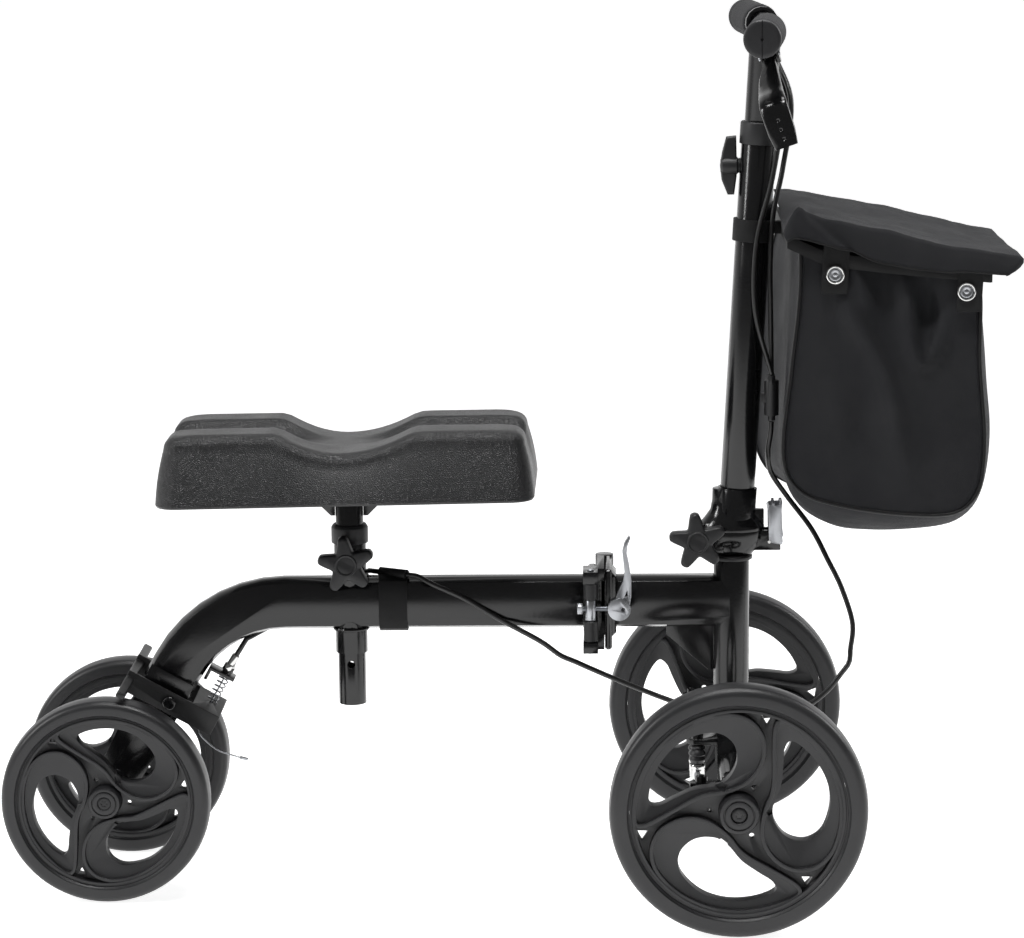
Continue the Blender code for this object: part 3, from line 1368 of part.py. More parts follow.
def make_carrier(column):
    """A flat bar bent to a U under the bag's lid, with a clamp round the column."""
    arms = []
    side = BAG_HALF + 0.0032
    route = smooth_route([(x, z, 0) for x, z in CARRIER_ROUTE], 7)
    for sign in (-1, 1):
        loop = [(x, z + CARRIER_W) for x, z, _ in route] + [(x, z - CARRIER_W) for x, z, _ in reversed(route)]
        arms.append(outline([loop], CARRIER_T, "carrier_arm", facing("-Y", (0, sign * side, 0))))
    y = side + CARRIER_T
    back = block((0.0445, -y, 0.6020), (0.0475, y, 0.6140), "carrier_back")
    front = block((0.2215, -y, 0.5712), (0.2245, y, 0.5830), "carrier_front")
    centre = on_column(HANGER_Z)
    clamp = turned(
        [
            (COLUMN_R + GAP, along_column(0.6150)),
            (COLUMN_R + 0.0030, along_column(0.6150)),
            (COLUMN_R + 0.0030, along_column(0.5950)),
            (COLUMN_R + GAP, along_column(0.5950)),
        ],
        20,
        "carrier_clamp",
        LEAN,
    )
    arm = block((centre.x + COLUMN_R + 0.0012, -0.006, 0.6020), (0.0460, 0.006, 0.6130), "clamp_arm")
    own(fuse(clamp, [arm, back, front] + arms), column, "powder_black", "bag_carrier")


LID_HINGE_X = 0.0490
LID_HINGE_Z = 0.6300
BAG_SIDE = (
    (0.0520, 0.6225),
    (0.0540, 0.5960),
    (0.0500, 0.5000),
    (0.0440, 0.4330),
    (0.0500, 0.3920),
    (0.0620, 0.3790),
    (0.0930, 0.3700),
    (0.1380, 0.3660),
    (0.1840, 0.3640),
    (0.2070, 0.3720),
    (0.2190, 0.3960),
    (0.2230, 0.4770),
    (0.2160, 0.5670),
    (0.2140, 0.5790),
)
BAG_MIDDLE = (
    (0.0520, 0.6225),
    (0.0540, 0.5960),
    (0.0500, 0.5000),
    (0.0450, 0.4330),
    (0.0480, 0.3800),
    (0.0620, 0.3560),
    (0.0930, 0.3400),
    (0.1380, 0.3340),
    (0.1840, 0.3380),
    (0.2130, 0.3520),
    (0.2290, 0.3900),
    (0.2350, 0.4770),
    (0.2190, 0.5670),
    (0.2140, 0.5790),
)
BAG_STATIONS = (-1.0, -0.72, -0.4, 0.0, 0.4, 0.72, 1.0)


def make_bag(column):
    """The bag as sewn: flat side panels, one long panel round back, bottom and front that bulges in the middle."""
    work = bmesh.new()
    rows = []
    for share in BAG_STATIONS:
        swell = 1 - share * share
        row = []
        for (x0, z0), (x1, z1) in zip(BAG_SIDE, BAG_MIDDLE):
            row.append(work.verts.new((x0 + (x1 - x0) * swell, share * BAG_HALF, z0 + (z1 - z0) * swell)))
        rows.append(row)
    for first, second in zip(rows, rows[1:]):
        for k in range(len(first) - 1):
            work.faces.new((first[k], first[k + 1], second[k + 1], second[k]))
    work.faces.new(rows[0])
    work.faces.new(list(reversed(rows[-1])))
    bag = mesh_object("bag_shell", work)
    wall = bag.modifiers.new("cloth", "SOLIDIFY")
    wall.thickness = BAG_WALL
    wall.offset = -1
    wall.use_even_offset = True
    own(smooth(bag, 45), column, "cloth_black")


LID_ROUTE = (
    (0.0480, 0.6290),
    (0.0600, 0.6276),
    (0.0920, 0.6212),
    (0.1250, 0.6146),
    (0.1580, 0.6078),
    (0.2000, 0.5992),
    (0.2360, 0.5920),
    (0.2480, 0.5896),
    (LID_FRONT_X - 0.0012, 0.5840),
    (LID_FRONT_X - 0.0012, 0.5740),
)
LID_HALF = 0.1240
SKIRT_DROP = (0.0190, 0.0200, 0.0205, 0.0205, 0.0200, 0.0180, 0.0150, 0.0135, 0.0090, 0.0012)


def make_lid(lid):
    """The bag's lid: one flap from above the carrier's back bar, with skirts at both sides and in front."""
    work = bmesh.new()
    rows = []
    for share, hangs in ((-1.0, 1), (-1.0, 0), (-0.6, 0), (0.0, 0), (0.6, 0), (1.0, 0), (1.0, 1)):
        crown = 0.0030 * (1 - share * share)
        row = []
        for (x, z), drop in zip(LID_ROUTE, SKIRT_DROP):
            out = math.copysign(0.0008, share) * hangs
            row.append(work.verts.new((x, share * LID_HALF + out, z + crown - drop * hangs)))
        rows.append(row)
    for first, second in zip(rows, rows[1:]):
        for k in range(len(first) - 1):
            work.faces.new((first[k], second[k], second[k + 1], first[k + 1]))
    flap = mesh_object("bag_lid", work)
    sheet = flap.modifiers.new("cloth", "SOLIDIFY")
    sheet.thickness = 0.0020
    sheet.offset = 0
    own(smooth(flap, 45), lid, "cloth_black")


# Handlebar
BAR_SWEEP = math.radians(4.8)
BAR_MIDDLE_X = 0.0308
LEVER_TILT = {"right": math.radians(-19), "left": math.radians(-28)}
BRACKET_Y = (0.0600, 0.0728)
YZ_PLANE = Matrix(((0, 0, 1, 0), (1, 0, 0, 0), (0, 1, 0, 0), (0, 0, 0, 1)))
LEVER_PIVOT = (-0.0060, 0.0655, -0.0210)
ENTRY_Z = -0.0275
CHEEK_X = 0.0056
CHEEK_T = 0.0028


def bar_frame(side, turn=0.0):
    """The frame of one swept-back half of the bar: its Y axis is the bar, y = 0 lies in the scooter's middle."""
    sign = 1 if side == "left" else -1
    place = (BAR_X + BAR_HALF * math.sin(BAR_SWEEP), sign * BAR_HALF * (1 - math.cos(BAR_SWEEP)), BAR_Z)
    return (
        Matrix.Translation(place) @ Matrix.Rotation(sign * BAR_SWEEP, 4, "Z") @ Matrix.Rotation(turn, 4, "Y")
    )


def lever_frame(side):
    """The frame of one lever's set, rolled about the bar so that the lever's end stands forward."""
    return bar_frame(side, LEVER_TILT[side])


def make_handlebar(bar):
    low = COLUMN_TOP - STEM_INSERT
    top = BAR_Z - 0.002
    profile = [
        (STEM_R - STEM_WALL, along_column(top)),
        (STEM_R, along_column(top)),
        (STEM_R, along_column(low)),
        (STEM_R - STEM_WALL, along_column(low)),
    ]
    straight = turned(profile, 20, "stem", LEAN)
    saddle = rod((BAR_MIDDLE_X, -0.1, BAR_Z), (BAR_MIDDLE_X, 0.1, BAR_Z), BAR_R - 0.001, 20, "saddle")
    stem = as_mesh(cut(straight, [saddle]))
    path = []
    for sign, side in ((-1, "right"), (1, "left")):
        frame = bar_frame(side)
        half = [frame @ Vector((0, sign * y, 0)) for y in (BAR_HALF, 0.062, 0.046)]
        half.append(Vector((BAR_MIDDLE_X, sign * 0.034, BAR_Z)))
        path += half if sign < 0 else list(reversed(half))
    cross = as_mesh(tube(path, BAR_R, "cross_bar", 3))
    own(fuse(cross, [stem]), bar, "powder_black", "stem_and_bar")


def make_grip(side, sign, bar):
    """A foam sleeve with a stepped rubber end, pushed over the bar."""
    inner = BAR_HALF - GRIP_LENGTH
    profile = [
        (0, BAR_HALF + 0.004),
        (0.0130, BAR_HALF + 0.004),
        (0.0160, BAR_HALF + 0.0025),
        (GRIP_R, BAR_HALF),
        (GRIP_R, inner + 0.002),
        (GRIP_R - 0.002, inner),
        (BAR_R + GAP, inner),
        (BAR_R + GAP, BAR_HALF + GAP),
        (0, BAR_HALF + GAP),
    ]
    place = bar_frame(side) @ facing("+Y" if sign > 0 else "-Y", (0, 0, 0))
    own(turned(profile, 20, f"{side}_grip", place, closed=False), bar, "foam_black")


def make_bracket(side, sign, bar):
    """Lever bracket: a clamp round the bar, two cheeks under it that hold the lever's pin, and a cable entry."""
    place = lever_frame(side)
    y0, y1 = (sign * value for value in BRACKET_Y)
    clamp = rod((0, y0, 0), (0, y1, 0), BAR_R + 0.0042, 16, "bracket_clamp")
    x, y, z = LEVER_PIVOT
    joined = []
    loop = [(0.0480, -0.0090), (0.0480, -0.0250), (0.0560, -0.0290), (0.0690, -0.0290), (0.0715, -0.0240)]
    loop += [(0.0715, -0.0090)]
    loop = [(sign * a, b) for a, b in loop]
    for cheek in (-1, 1):
        cheek_place = Matrix.Translation((x + cheek * (CHEEK_X + CHEEK_T / 2), 0, 0)) @ YZ_PLANE
        joined.append(outline([loop], CHEEK_T / 2, "bracket_cheek", cheek_place))
    wide = CHEEK_X + 0.001
    near, far = sorted((sign * 0.0480, sign * 0.0550))
    joined.append(block((x - wide, near, -0.0290), (x + wide, far, -0.0090), "bracket_back"))
    near, far = sorted((sign * 0.0485, sign * 0.0710))
    joined.append(block((x - wide, near, -0.0135), (x + wide, far, -0.0085), "bracket_roof"))
    joined.append(rod((x, sign * 0.0540, ENTRY_Z), (x, sign * 0.0440, ENTRY_Z), 0.0043, 10, "cable_entry"))
    bore = rod((0, sign * 0.03, 0), (0, sign * 0.09, 0), BAR_R + GAP, 16, "bar_bore")
    pivot = rod((x - 0.02, sign * y, z), (x + 0.02, sign * y, z), 0.0022 + GAP, 10, "pivot_hole")
    cable_bore = rod((x, sign * 0.049, ENTRY_Z), (x, sign * 0.030, ENTRY_Z), 0.0014, 8, "entry_bore")
    for shape in [clamp, *joined, bore, pivot, cable_bore]:
        shape.matrix_basis = place @ shape.matrix_basis
    own(cut(fuse(clamp, joined), [bore, pivot, cable_bore]), bar, "casting_black", f"{side}_lever_bracket")


def lever_blade(sign):
    """Stations of the pressed blade: a narrow root at the pivot, then a broad strip outwards and down."""
    stations = (
        (-0.0060, 0.0625, -0.0215, 0.0046),
        (-0.0060, 0.0760, -0.0243, 0.0048),
        (-0.0080, 0.0900, -0.0300, 0.0075),
        (-0.0100, 0.1080, -0.0375, 0.0098),
        (-0.0110, 0.1300, -0.0460, 0.0110),
        (-0.0110, 0.1480, -0.0505, 0.0118),
        (-0.0110, 0.1590, -0.0560, 0.0125),
        (-0.0110, 0.1640, -0.0670, 0.0125),
        (-0.0110, 0.1660, -0.0810, 0.0122),
        (-0.0110, 0.1668, -0.0945, 0.0100),
    )
    return [(Vector((a, sign * b, c)), half) for a, b, c, half in stations]


def strip(stations, thick, name):
    """A pressed strip through stations of (centre, half width along X), with a raised middle line."""
    work = bmesh.new()
    rings = []
    count = len(stations)
    for number, (centre, half) in enumerate(stations):
        before = stations[max(number - 1, 0)][0]
        after = stations[min(number + 1, count - 1)][0]
        along = (after - before).normalized()
        across = Vector((1, 0, 0))
        normal = along.cross(across).normalized()
        ring_points = []
        for share, lift in ((-1, -1), (0, 0.5), (1, -1), (1, 1), (0, 2.5), (-1, 1)):
            ring_points.append(work.verts.new(centre + across * half * share + normal * thick * lift))
        rings.append(ring_points)
    for first, second in zip(rings, rings[1:]):
        for k in range(6):
            j = (k + 1) % 6
            work.faces.new((first[k], first[j], second[j], second[k]))
    work.faces.new(rings[0])
    work.faces.new(list(reversed(rings[-1])))
    return mesh_object(name, work)


def make_lever(side, sign, body):
    place = lever_frame(side)
    x, y, z = LEVER_PIVOT
    blade = strip(lever_blade(sign), 0.0011, "lever_blade")
    hub = rod((x - 0.0052, sign * y, z), (x + 0.0052, sign * y, z), 0.0050, 14, "lever_hub")
    pin = rod((x - 0.0100, sign * y, z), (x + 0.0100, sign * y, z), 0.0022, 10, "lever_pin")
    for shape in (blade, hub, pin):
        shape.matrix_basis = place @ shape.matrix_basis
    own(fuse(blade, [hub, pin]), body, "casting_black", f"{side}_brake_lever")


# Cables
def make_cable(name, points, body, count):
    """A cable whose first and last stretch keep their direction, with a small gap at both ends."""
    first, last = Vector(points[0]), Vector(points[-1])
    second, before = Vector(points[1]), Vector(points[-2])
    route = smooth_route(points[1:-1], count - 2)
    route.insert(0, first + (second - first).normalized() * GAP)
    route.append(last + (before - last).normalized() * GAP)
    own(as_mesh(tube(route, CABLE_R, name, 1)), body, "cable_black", name)


def make_junction(column):
    """Two lever cables go in at the top, one brake cable leaves at the bottom."""
    x, y, z = JUNCTION
    body = rod((x, y, z - 0.016), (x, y, z + 0.016), 0.0068, 14, "cable_junction")
    necks = []
    for side in (-1, 1):
        beside = y + side * 0.0040
        necks.append(rod((x, beside, z + 0.014), (x, beside, z + 0.021), 0.0034, 10, "neck"))
    necks.append(rod((x, y, z - 0.021), (x, y, z - 0.014), 0.0036, 10, "neck"))
    hook = block((COLUMN_R + 0.0110, y - 0.0040, z - 0.004), (x, y + 0.0040, z + 0.004), "junction_hook")
    own(fuse(body, necks + [hook]), column, "knob_black", "cable_junction")


JUNCTION = (0.0362, -0.0100, 0.4520)
CABLE_TO_FORK = (
    (0.0362, -0.0100, 0.4298),
    (0.0358, -0.0095, 0.4200),
    (0.0335, -0.0030, 0.4000),
    (0.0370, 0.0180, 0.3780),
    (0.0520, 0.0260, 0.3540),
    (0.0750, 0.0180, 0.3240),
    (0.0900, 0.0080, 0.2960),
    (0.1020, 0.0000, 0.2720),
    (0.1120, -0.0080, 0.2400),
    (0.1100, -0.0120, 0.2160),
)
CABLE_TO_FRAME = (
    (0.1100, -0.0120, 0.2160),
    (0.1088, -0.0138, 0.2040),
    (0.1020, -0.0140, 0.1940),
    (0.0880, -0.0160, 0.1770),
    (0.0700, -0.0180, 0.1640),
    (0.0450, -0.0210, 0.1570),
)
CABLE_UNDER_FRAME = (
    (0.0450, -0.0210, 0.1570),
    (0.0300, -0.0230, 0.1555),
    (0.0150, -0.0245, 0.1550),
    (-0.0200, -0.0220, 0.1580),
    (-0.0560, -0.0140, 0.1680),
    (-0.0970, -0.0120, 0.1840),
)
STRAP_CABLE_Z = BEAM_Z + BEAM_H / 2 + CABLE_R + 2 * GAP
CABLE_TO_BRAKE = (
    (-0.0970, -0.0120, 0.1840),
    (-0.1310, -0.0120, 0.1990),
    (-0.1450, -0.0140, 0.2060),
    (-0.1590, -0.0170, 0.2130),
    (-0.1770, -0.0200, 0.2270),
    (-0.2140, -0.0207, 0.2480),
    (-0.2470, -0.0207, 0.2680),
    (-0.2750, -0.0205, 0.2810),
    (-0.2880, -0.0158, 0.2872),
    (*STRAP_CROSSING[0], STRAP_CABLE_Z),
    (*STRAP_CROSSING[1], STRAP_CABLE_Z),
    (-0.3380, 0.0140, 0.2865),
    (-0.3520, 0.0206, 0.2760),
    (-0.3750, 0.0206, 0.2620),
    (-0.4000, 0.0206, 0.2490),
    (-0.4220, 0.0180, 0.2380),
)


def make_cables(column, bar, fork, front, root):
    junction = Vector(JUNCTION)
    entry = LEVER_PIVOT
    for side, sign in (("right", -1), ("left", 1)):
        start = lever_frame(side) @ Vector((entry[0], sign * 0.0435, ENTRY_Z))
        bend = lever_frame(side) @ Vector((entry[0], sign * 0.0340, ENTRY_Z - 0.0010))
        end = junction + Vector((0, sign * 0.0040, 0.0225))
        if side == "right":
            middle = [(0.0440, -0.0260, 0.7150), (0.0360, -0.0240, 0.6550), (0.0220, -0.0215, 0.5960)]
            middle += [(0.0210, -0.0215, 0.5330)]
        else:
            middle = [(0.0540, 0.0060, 0.7200), (0.0460, -0.0080, 0.6620), (0.0370, -0.0140, 0.6200)]
            middle += [(0.0345, -0.0150, 0.5740), (0.0350, -0.0140, 0.5370)]
        make_cable(f"{side}_lever_cable", [start, bend, *middle, end], bar, 15)
    make_cable("brake_cable_at_column", CABLE_TO_FORK, column, 14)
    make_cable("brake_cable_at_fork", CABLE_TO_FRAME, fork, 6)
    make_cable("brake_cable_under_frame", CABLE_UNDER_FRAME, front, 7)
    end = [rear((WIRE_V + 0.001, 0, STOP_R + 0.040)), rear((WIRE_V, 0, STOP_R + 0.0225))]
    make_cable("brake_cable_at_rear", [*CABLE_TO_BRAKE, *end], root, 24)


def main():
    root = empty("rear_frame", MIDDLE, (0, 0, 0))
    seat = empty("seat", root, (SEAT_X, 0, PLATE_Z))
    seat_knob = empty("seat_knob_turn", root, (SEAT_X, 0, SEAT_KNOB_Z))
    brake = empty("rear_brake", root, rear((BRAKE_V, 0, BRAKE_R)))
    rear_wheels = {}
    for side, sign in (("right", -1), ("left", 1)):
        rear_wheels[side] = empty(f"rear_{side}_wheel", root, (-WHEELBASE, sign * REAR_TRACK / 2, REAR_WHEEL_R))
    swing = empty("latch_swing", root, (LATCH_X, LATCH_Y, LATCH_Z))
    cam = empty("latch_cam", swing, (CAM_PIVOT_X, LATCH_Y, LATCH_Z))
    front = empty("front_frame", root, (HINGE_X, HINGE_PIN_Y, (HINGE_LOW + HINGE_HIGH) / 2))
    fork = empty("fork", front, (0, 0, HEAD_HIGH))
    latch = empty("fold_latch_turn", fork, (LATCH_PIN_X, 0, LATCH_PIN_Z))
    column = empty("column", fork, (FOLD_X, 0, FOLD_Z))
    fold_knob = empty("fold_knob_turn", column, (FOLD_X, 0, FOLD_Z))
    height_knob = empty("height_knob_turn", column, (0, 0, HEIGHT_KNOB_Z))
    lid = empty("lid", column, (LID_HINGE_X, 0, LID_HINGE_Z))
    bar = empty("handlebar", column, on_column(COLUMN_TOP))

    make_rear_beam(root)
    make_seat_sleeve(root)
    make_rear_fork(root)
    make_rear_axle(root)
    make_brake_parts(root, brake)
    make_brake_spring(brake)
    make_brake_wire(brake)
    make_cable_stop(root)
    make_strap(root)
    make_rear_hinge(root)
    make_seat(seat)
    make_pad(seat)
    near = -sleeve_radius() - BOSS_LENGTH - KNOB_STANDOFF
    make_star_knob("seat_knob", seat_knob, SEAT_X, SEAT_KNOB_Z, near, -SEAT_POST_R - GAP)
    make_wheel_pair("rear", REAR_WHEEL_R, REAR_TYRE_W, REAR_HUB_HALF, -WHEELBASE, REAR_TRACK, rear_wheels)
    make_swing_bolt(swing)
    make_cam_lever(cam)

    make_front_hinge(front)
    make_front_frame(front)
    make_head(front)
    make_bridge(front)
    make_steerer(fork)
    make_fold_base(fork)
    front_wheels = {}
    for side, sign in (("right", -1), ("left", 1)):
        knuckle = empty(f"{side}_knuckle_turn", front, (0, sign * KING_PIN_Y, CROSS_Z))
        tie_rod = empty(f"{side}_tie_rod_turn", fork, (ARM.x, sign * ARM.y, TIE_ROD_Z))
        wheel = empty(f"front_{side}_wheel", knuckle, (0, sign * FRONT_TRACK / 2, FRONT_WHEEL_R))
        front_wheels[side] = wheel
        make_knuckle(side, sign, knuckle)
        make_tie_rod(side, sign, tie_rod)
    make_wheel_pair("front", FRONT_WHEEL_R, FRONT_TYRE_W, FRONT_HUB_HALF, 0, FRONT_TRACK, front_wheels)

    make_fold_latch(latch)
    make_fold_head(column)
    make_star_knob("fold_knob", fold_knob, FOLD_X, FOLD_Z, -0.0240, 0.0225)
    make_column(column)
    make_height_knob(height_knob)
    make_carrier(column)
    make_bag(column)
    make_lid(lid)
    make_junction(column)
    make_handlebar(bar)
    for side, sign in (("right", -1), ("left", 1)):
        make_grip(side, sign, bar)
        make_bracket(side, sign, bar)
        x, y, z = LEVER_PIVOT
        lever = empty(f"{side}_lever", bar, lever_frame(side) @ Vector((x, sign * y, z)))
        make_lever(side, sign, lever)
    make_cables(column, bar, fork, front, root)
    bpy.context.view_layer.update()


main()
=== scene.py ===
"""The looks of a folding knee scooter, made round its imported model. Metres, +Z up, +X forward, +Y to the left.

Sizes are measured from the front axle line, as in the model: at() turns them into the model's own frame."""

import json
import math

import bmesh
import bpy
from mathutils import Matrix, Vector, noise


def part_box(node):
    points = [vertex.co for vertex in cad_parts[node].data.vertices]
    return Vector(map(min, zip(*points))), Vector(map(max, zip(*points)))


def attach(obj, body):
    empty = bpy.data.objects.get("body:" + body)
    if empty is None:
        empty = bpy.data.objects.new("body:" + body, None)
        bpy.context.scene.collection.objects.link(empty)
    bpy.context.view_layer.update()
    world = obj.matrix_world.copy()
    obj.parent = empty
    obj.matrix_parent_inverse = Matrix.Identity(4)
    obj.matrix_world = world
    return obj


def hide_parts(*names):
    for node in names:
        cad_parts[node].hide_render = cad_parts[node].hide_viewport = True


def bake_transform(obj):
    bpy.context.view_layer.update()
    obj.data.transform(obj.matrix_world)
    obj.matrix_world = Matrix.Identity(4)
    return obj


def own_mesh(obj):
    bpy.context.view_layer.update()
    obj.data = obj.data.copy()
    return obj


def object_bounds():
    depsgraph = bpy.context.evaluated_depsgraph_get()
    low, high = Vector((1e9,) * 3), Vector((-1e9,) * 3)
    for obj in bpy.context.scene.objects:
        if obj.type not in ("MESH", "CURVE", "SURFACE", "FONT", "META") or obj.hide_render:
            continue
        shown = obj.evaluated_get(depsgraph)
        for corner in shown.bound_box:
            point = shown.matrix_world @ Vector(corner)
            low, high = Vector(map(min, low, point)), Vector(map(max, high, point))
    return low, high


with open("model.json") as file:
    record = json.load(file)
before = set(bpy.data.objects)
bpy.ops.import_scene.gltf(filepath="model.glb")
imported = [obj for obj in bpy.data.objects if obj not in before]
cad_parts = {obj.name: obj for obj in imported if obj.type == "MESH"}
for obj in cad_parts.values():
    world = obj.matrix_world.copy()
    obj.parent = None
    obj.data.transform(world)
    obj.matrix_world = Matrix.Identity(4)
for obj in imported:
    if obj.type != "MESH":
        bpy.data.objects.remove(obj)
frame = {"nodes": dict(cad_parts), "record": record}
CAD_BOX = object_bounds()

bl_info = {
    "name": "Folding knee scooter looks",
    "version": (1, 0, 0),
    "blender": (4, 5, 0),
    "location": "3D View > Sidebar > Knee scooter",
    "description": "Builds the visible pieces, finishes and studio of a folding knee scooter round its packed model",
    "category": "Object",
}

# Places in the model
RIM_LOW, RIM_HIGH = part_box("front_right_rim")
FRONT_X = (RIM_LOW[0] + RIM_HIGH[0]) / 2
WHEELBASE = 0.573
FRONT_R = 0.1143
REAR_R = 0.09525
FRONT_TRACK = 0.385
REAR_TRACK = 0.159
SEAT_X = -0.3525
BAR_SWEEP = math.radians(4.8)
BAR_X = 0.0197
BAR_Z = 0.788
BAR_HALF = 0.186


def at(x, y, z):
    """A place given from the front axle line, in the model's frame."""
    return Vector((FRONT_X + x, y, z))


def sizes():
    return bpy.context.scene.scooter_sizes


def colours():
    return bpy.context.scene.scooter_colours


# Meshes
def mesh_piece(name, work):
    """A new object from a bmesh, with its faces turned outwards."""
    bmesh.ops.recalc_face_normals(work, faces=work.faces[:])
    mesh = bpy.data.meshes.new(name)
    work.to_mesh(mesh)
    work.free()
    item = bpy.data.objects.new(name, mesh)
    bpy.context.scene.collection.objects.link(item)
    return item


def settle(item):
    """Applies an object's modifiers and its place to its mesh."""
    bpy.context.view_layer.update()
    graph = bpy.context.evaluated_depsgraph_get()
    mesh = bpy.data.meshes.new_from_object(item.evaluated_get(graph))
    mesh.transform(item.matrix_world)
    item.modifiers.clear()
    item.data = mesh
    item.matrix_world = Matrix.Identity(4)
    return item


def softened(item, width, angle=32, segments=2):
    """Rounds the edges that are sharper than an angle and smooths the rest."""
    if width:
        bevel = item.modifiers.new("edges", "BEVEL")
        bevel.width = width
        bevel.segments = segments
        bevel.limit_method = "ANGLE"
        bevel.angle_limit = math.radians(angle)
        bevel.miter_outer = "MITER_ARC"
    settle(item)
    item.data.shade_smooth()
    item.data.set_sharp_from_angle(angle=math.radians(40))
    return item


def loft(rings, name, closed=False, capped=True):
    """A skin over rings of as many points each; closed joins the last ring to the first."""
    work = bmesh.new()
    made = [[work.verts.new(point) for point in ring] for ring in rings]
    pairs = list(zip(made, made[1:]))
    if closed:
        pairs.append((made[-1], made[0]))
    for first, second in pairs:
        count = len(first)
        for k in range(count):
            j = (k + 1) % count
            work.faces.new((first[k], first[j], second[j], second[k]))
    if capped and not closed:
        work.faces.new(made[0])
        work.faces.new(list(reversed(made[-1])))
    return mesh_piece(name, work)


def lathe(profile, name, place=Matrix.Identity(4), sides=48, closed=False):
    """A profile of (radius, height) turned about Z; a radius of nought closes it there."""
    rings = []
    for radius, height in profile:
        ring = []
        for k in range(sides):
            turn = 2 * math.pi * k / sides
            reach = max(radius, 1e-5)
            ring.append(place @ Vector((reach * math.cos(turn), reach * math.sin(turn), height)))
        rings.append(ring)
    return loft(rings, name, closed)


def prism(loop, half, name, place=Matrix.Identity(4)):
    """A flat outline, thickened both ways along its local Z."""
    rings = [[place @ Vector((x, y, height)) for x, y in loop] for height in (-half, half)]
    return loft(rings, name)


def curve_through(points, count):
    """Evenly spaced points on a smooth curve through the given ones."""
    known = [Vector(point) for point in points]
    ends = [known[0] * 2 - known[1]] + known + [known[-1] * 2 - known[-2]]
    fine = []
    for a, b, c, d in zip(ends, ends[1:], ends[2:], ends[3:]):
        for step in range(16):
            t = step / 16
            fine.append(
                0.5 * (2 * b + (c - a) * t + (2 * a - 5 * b + 4 * c - d) * t**2 + (3 * b - a - 3 * c + d) * t**3)
            )
    fine.append(known[-1])
    lengths = [0.0]
    for first, second in zip(fine, fine[1:]):
        lengths.append(lengths[-1] + (second - first).length)
    route = []
    place = 0
    for number in range(count):
        wanted = lengths[-1] * number / (count - 1)
        while place < len(fine) - 2 and lengths[place + 1] < wanted:
            place += 1
        span = max(lengths[place + 1] - lengths[place], 1e-9)
        route.append(fine[place].lerp(fine[place + 1], (wanted - lengths[place]) / span))
    return route


def tube(route, radius, name, sides=12, closed=False):
    """A round tube along a route, without twist; radius may be a list, one for each point."""
    count = len(route)
    radii = radius if isinstance(radius, list) else [radius] * count
    rings = []
    side = None
    for number, point in enumerate(route):
        after = route[(number + 1) % count] if closed else route[min(number + 1, count - 1)]
        before = route[number - 1] if closed else route[max(number - 1, 0)]
        along = (after - before).normalized()
        if side is None:
            side = along.orthogonal().normalized()
        side = (side - along * side.dot(along)).normalized()
        other = along.cross(side)
        ring = []
        for k in range(sides):
            turn = 2 * math.pi * k / sides
            ring.append(point + (side * math.cos(turn) + other * math.sin(turn)) * radii[number])
        rings.append(ring)
    return loft(rings, name, closed)


def facing(axis, place):
    """A matrix whose local Z runs along a world axis, at a place."""
    turns = {
        "-Y": Matrix.Rotation(math.pi / 2, 4, "X"),
        "+Y": Matrix.Rotation(-math.pi / 2, 4, "X"),
        "-X": Matrix.Rotation(-math.pi / 2, 4, "Y"),
        "+X": Matrix.Rotation(math.pi / 2, 4, "Y"),
        "+Z": Matrix.Identity(4),
    }
    return Matrix.Translation(Vector(place)) @ turns[axis]


def boolean(base, others, operation):
    """Joins shapes to a base or cuts them out of it, and removes them."""
    for other in others:
        step = base.modifiers.new("step", "BOOLEAN")
        step.operation = operation
        step.solver = "EXACT"
        step.object = other
        settle(base)
        bpy.data.objects.remove(other, do_unlink=True)
    return base


def finished(item, body, finish, *nodes):
    """Gives a piece its material, the body it rides on and the nodes it stands for."""
    item.data.materials.clear()
    item.data.materials.append(material(finish))
    if body:
        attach(item, body)
    if nodes:
        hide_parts(*nodes)
    return item


def body_holding(node):
    """The body that a node of the model belongs to."""
    for body, nodes in frame["record"]["behaviour"]["bodies"].items():
        if node in nodes:
            return body
    raise RuntimeError(f"no body holds {node}")


def from_model(node, finish, width):
    """A node's own shape with rounded edges and smooth shading, in place of the node."""
    work = bmesh.new()
    source = frame["nodes"][node]
    work.from_mesh(source.data)
    work.transform(source.matrix_world)
    bmesh.ops.remove_doubles(work, verts=work.verts[:], dist=4e-6)
    bmesh.ops.dissolve_limit(work, angle_limit=math.radians(0.8), verts=work.verts[:], edges=work.edges[:])
    item = mesh_piece(f"{node}_finished", work)
    softened(item, width)
    return finished(item, body_holding(node), finish, node)


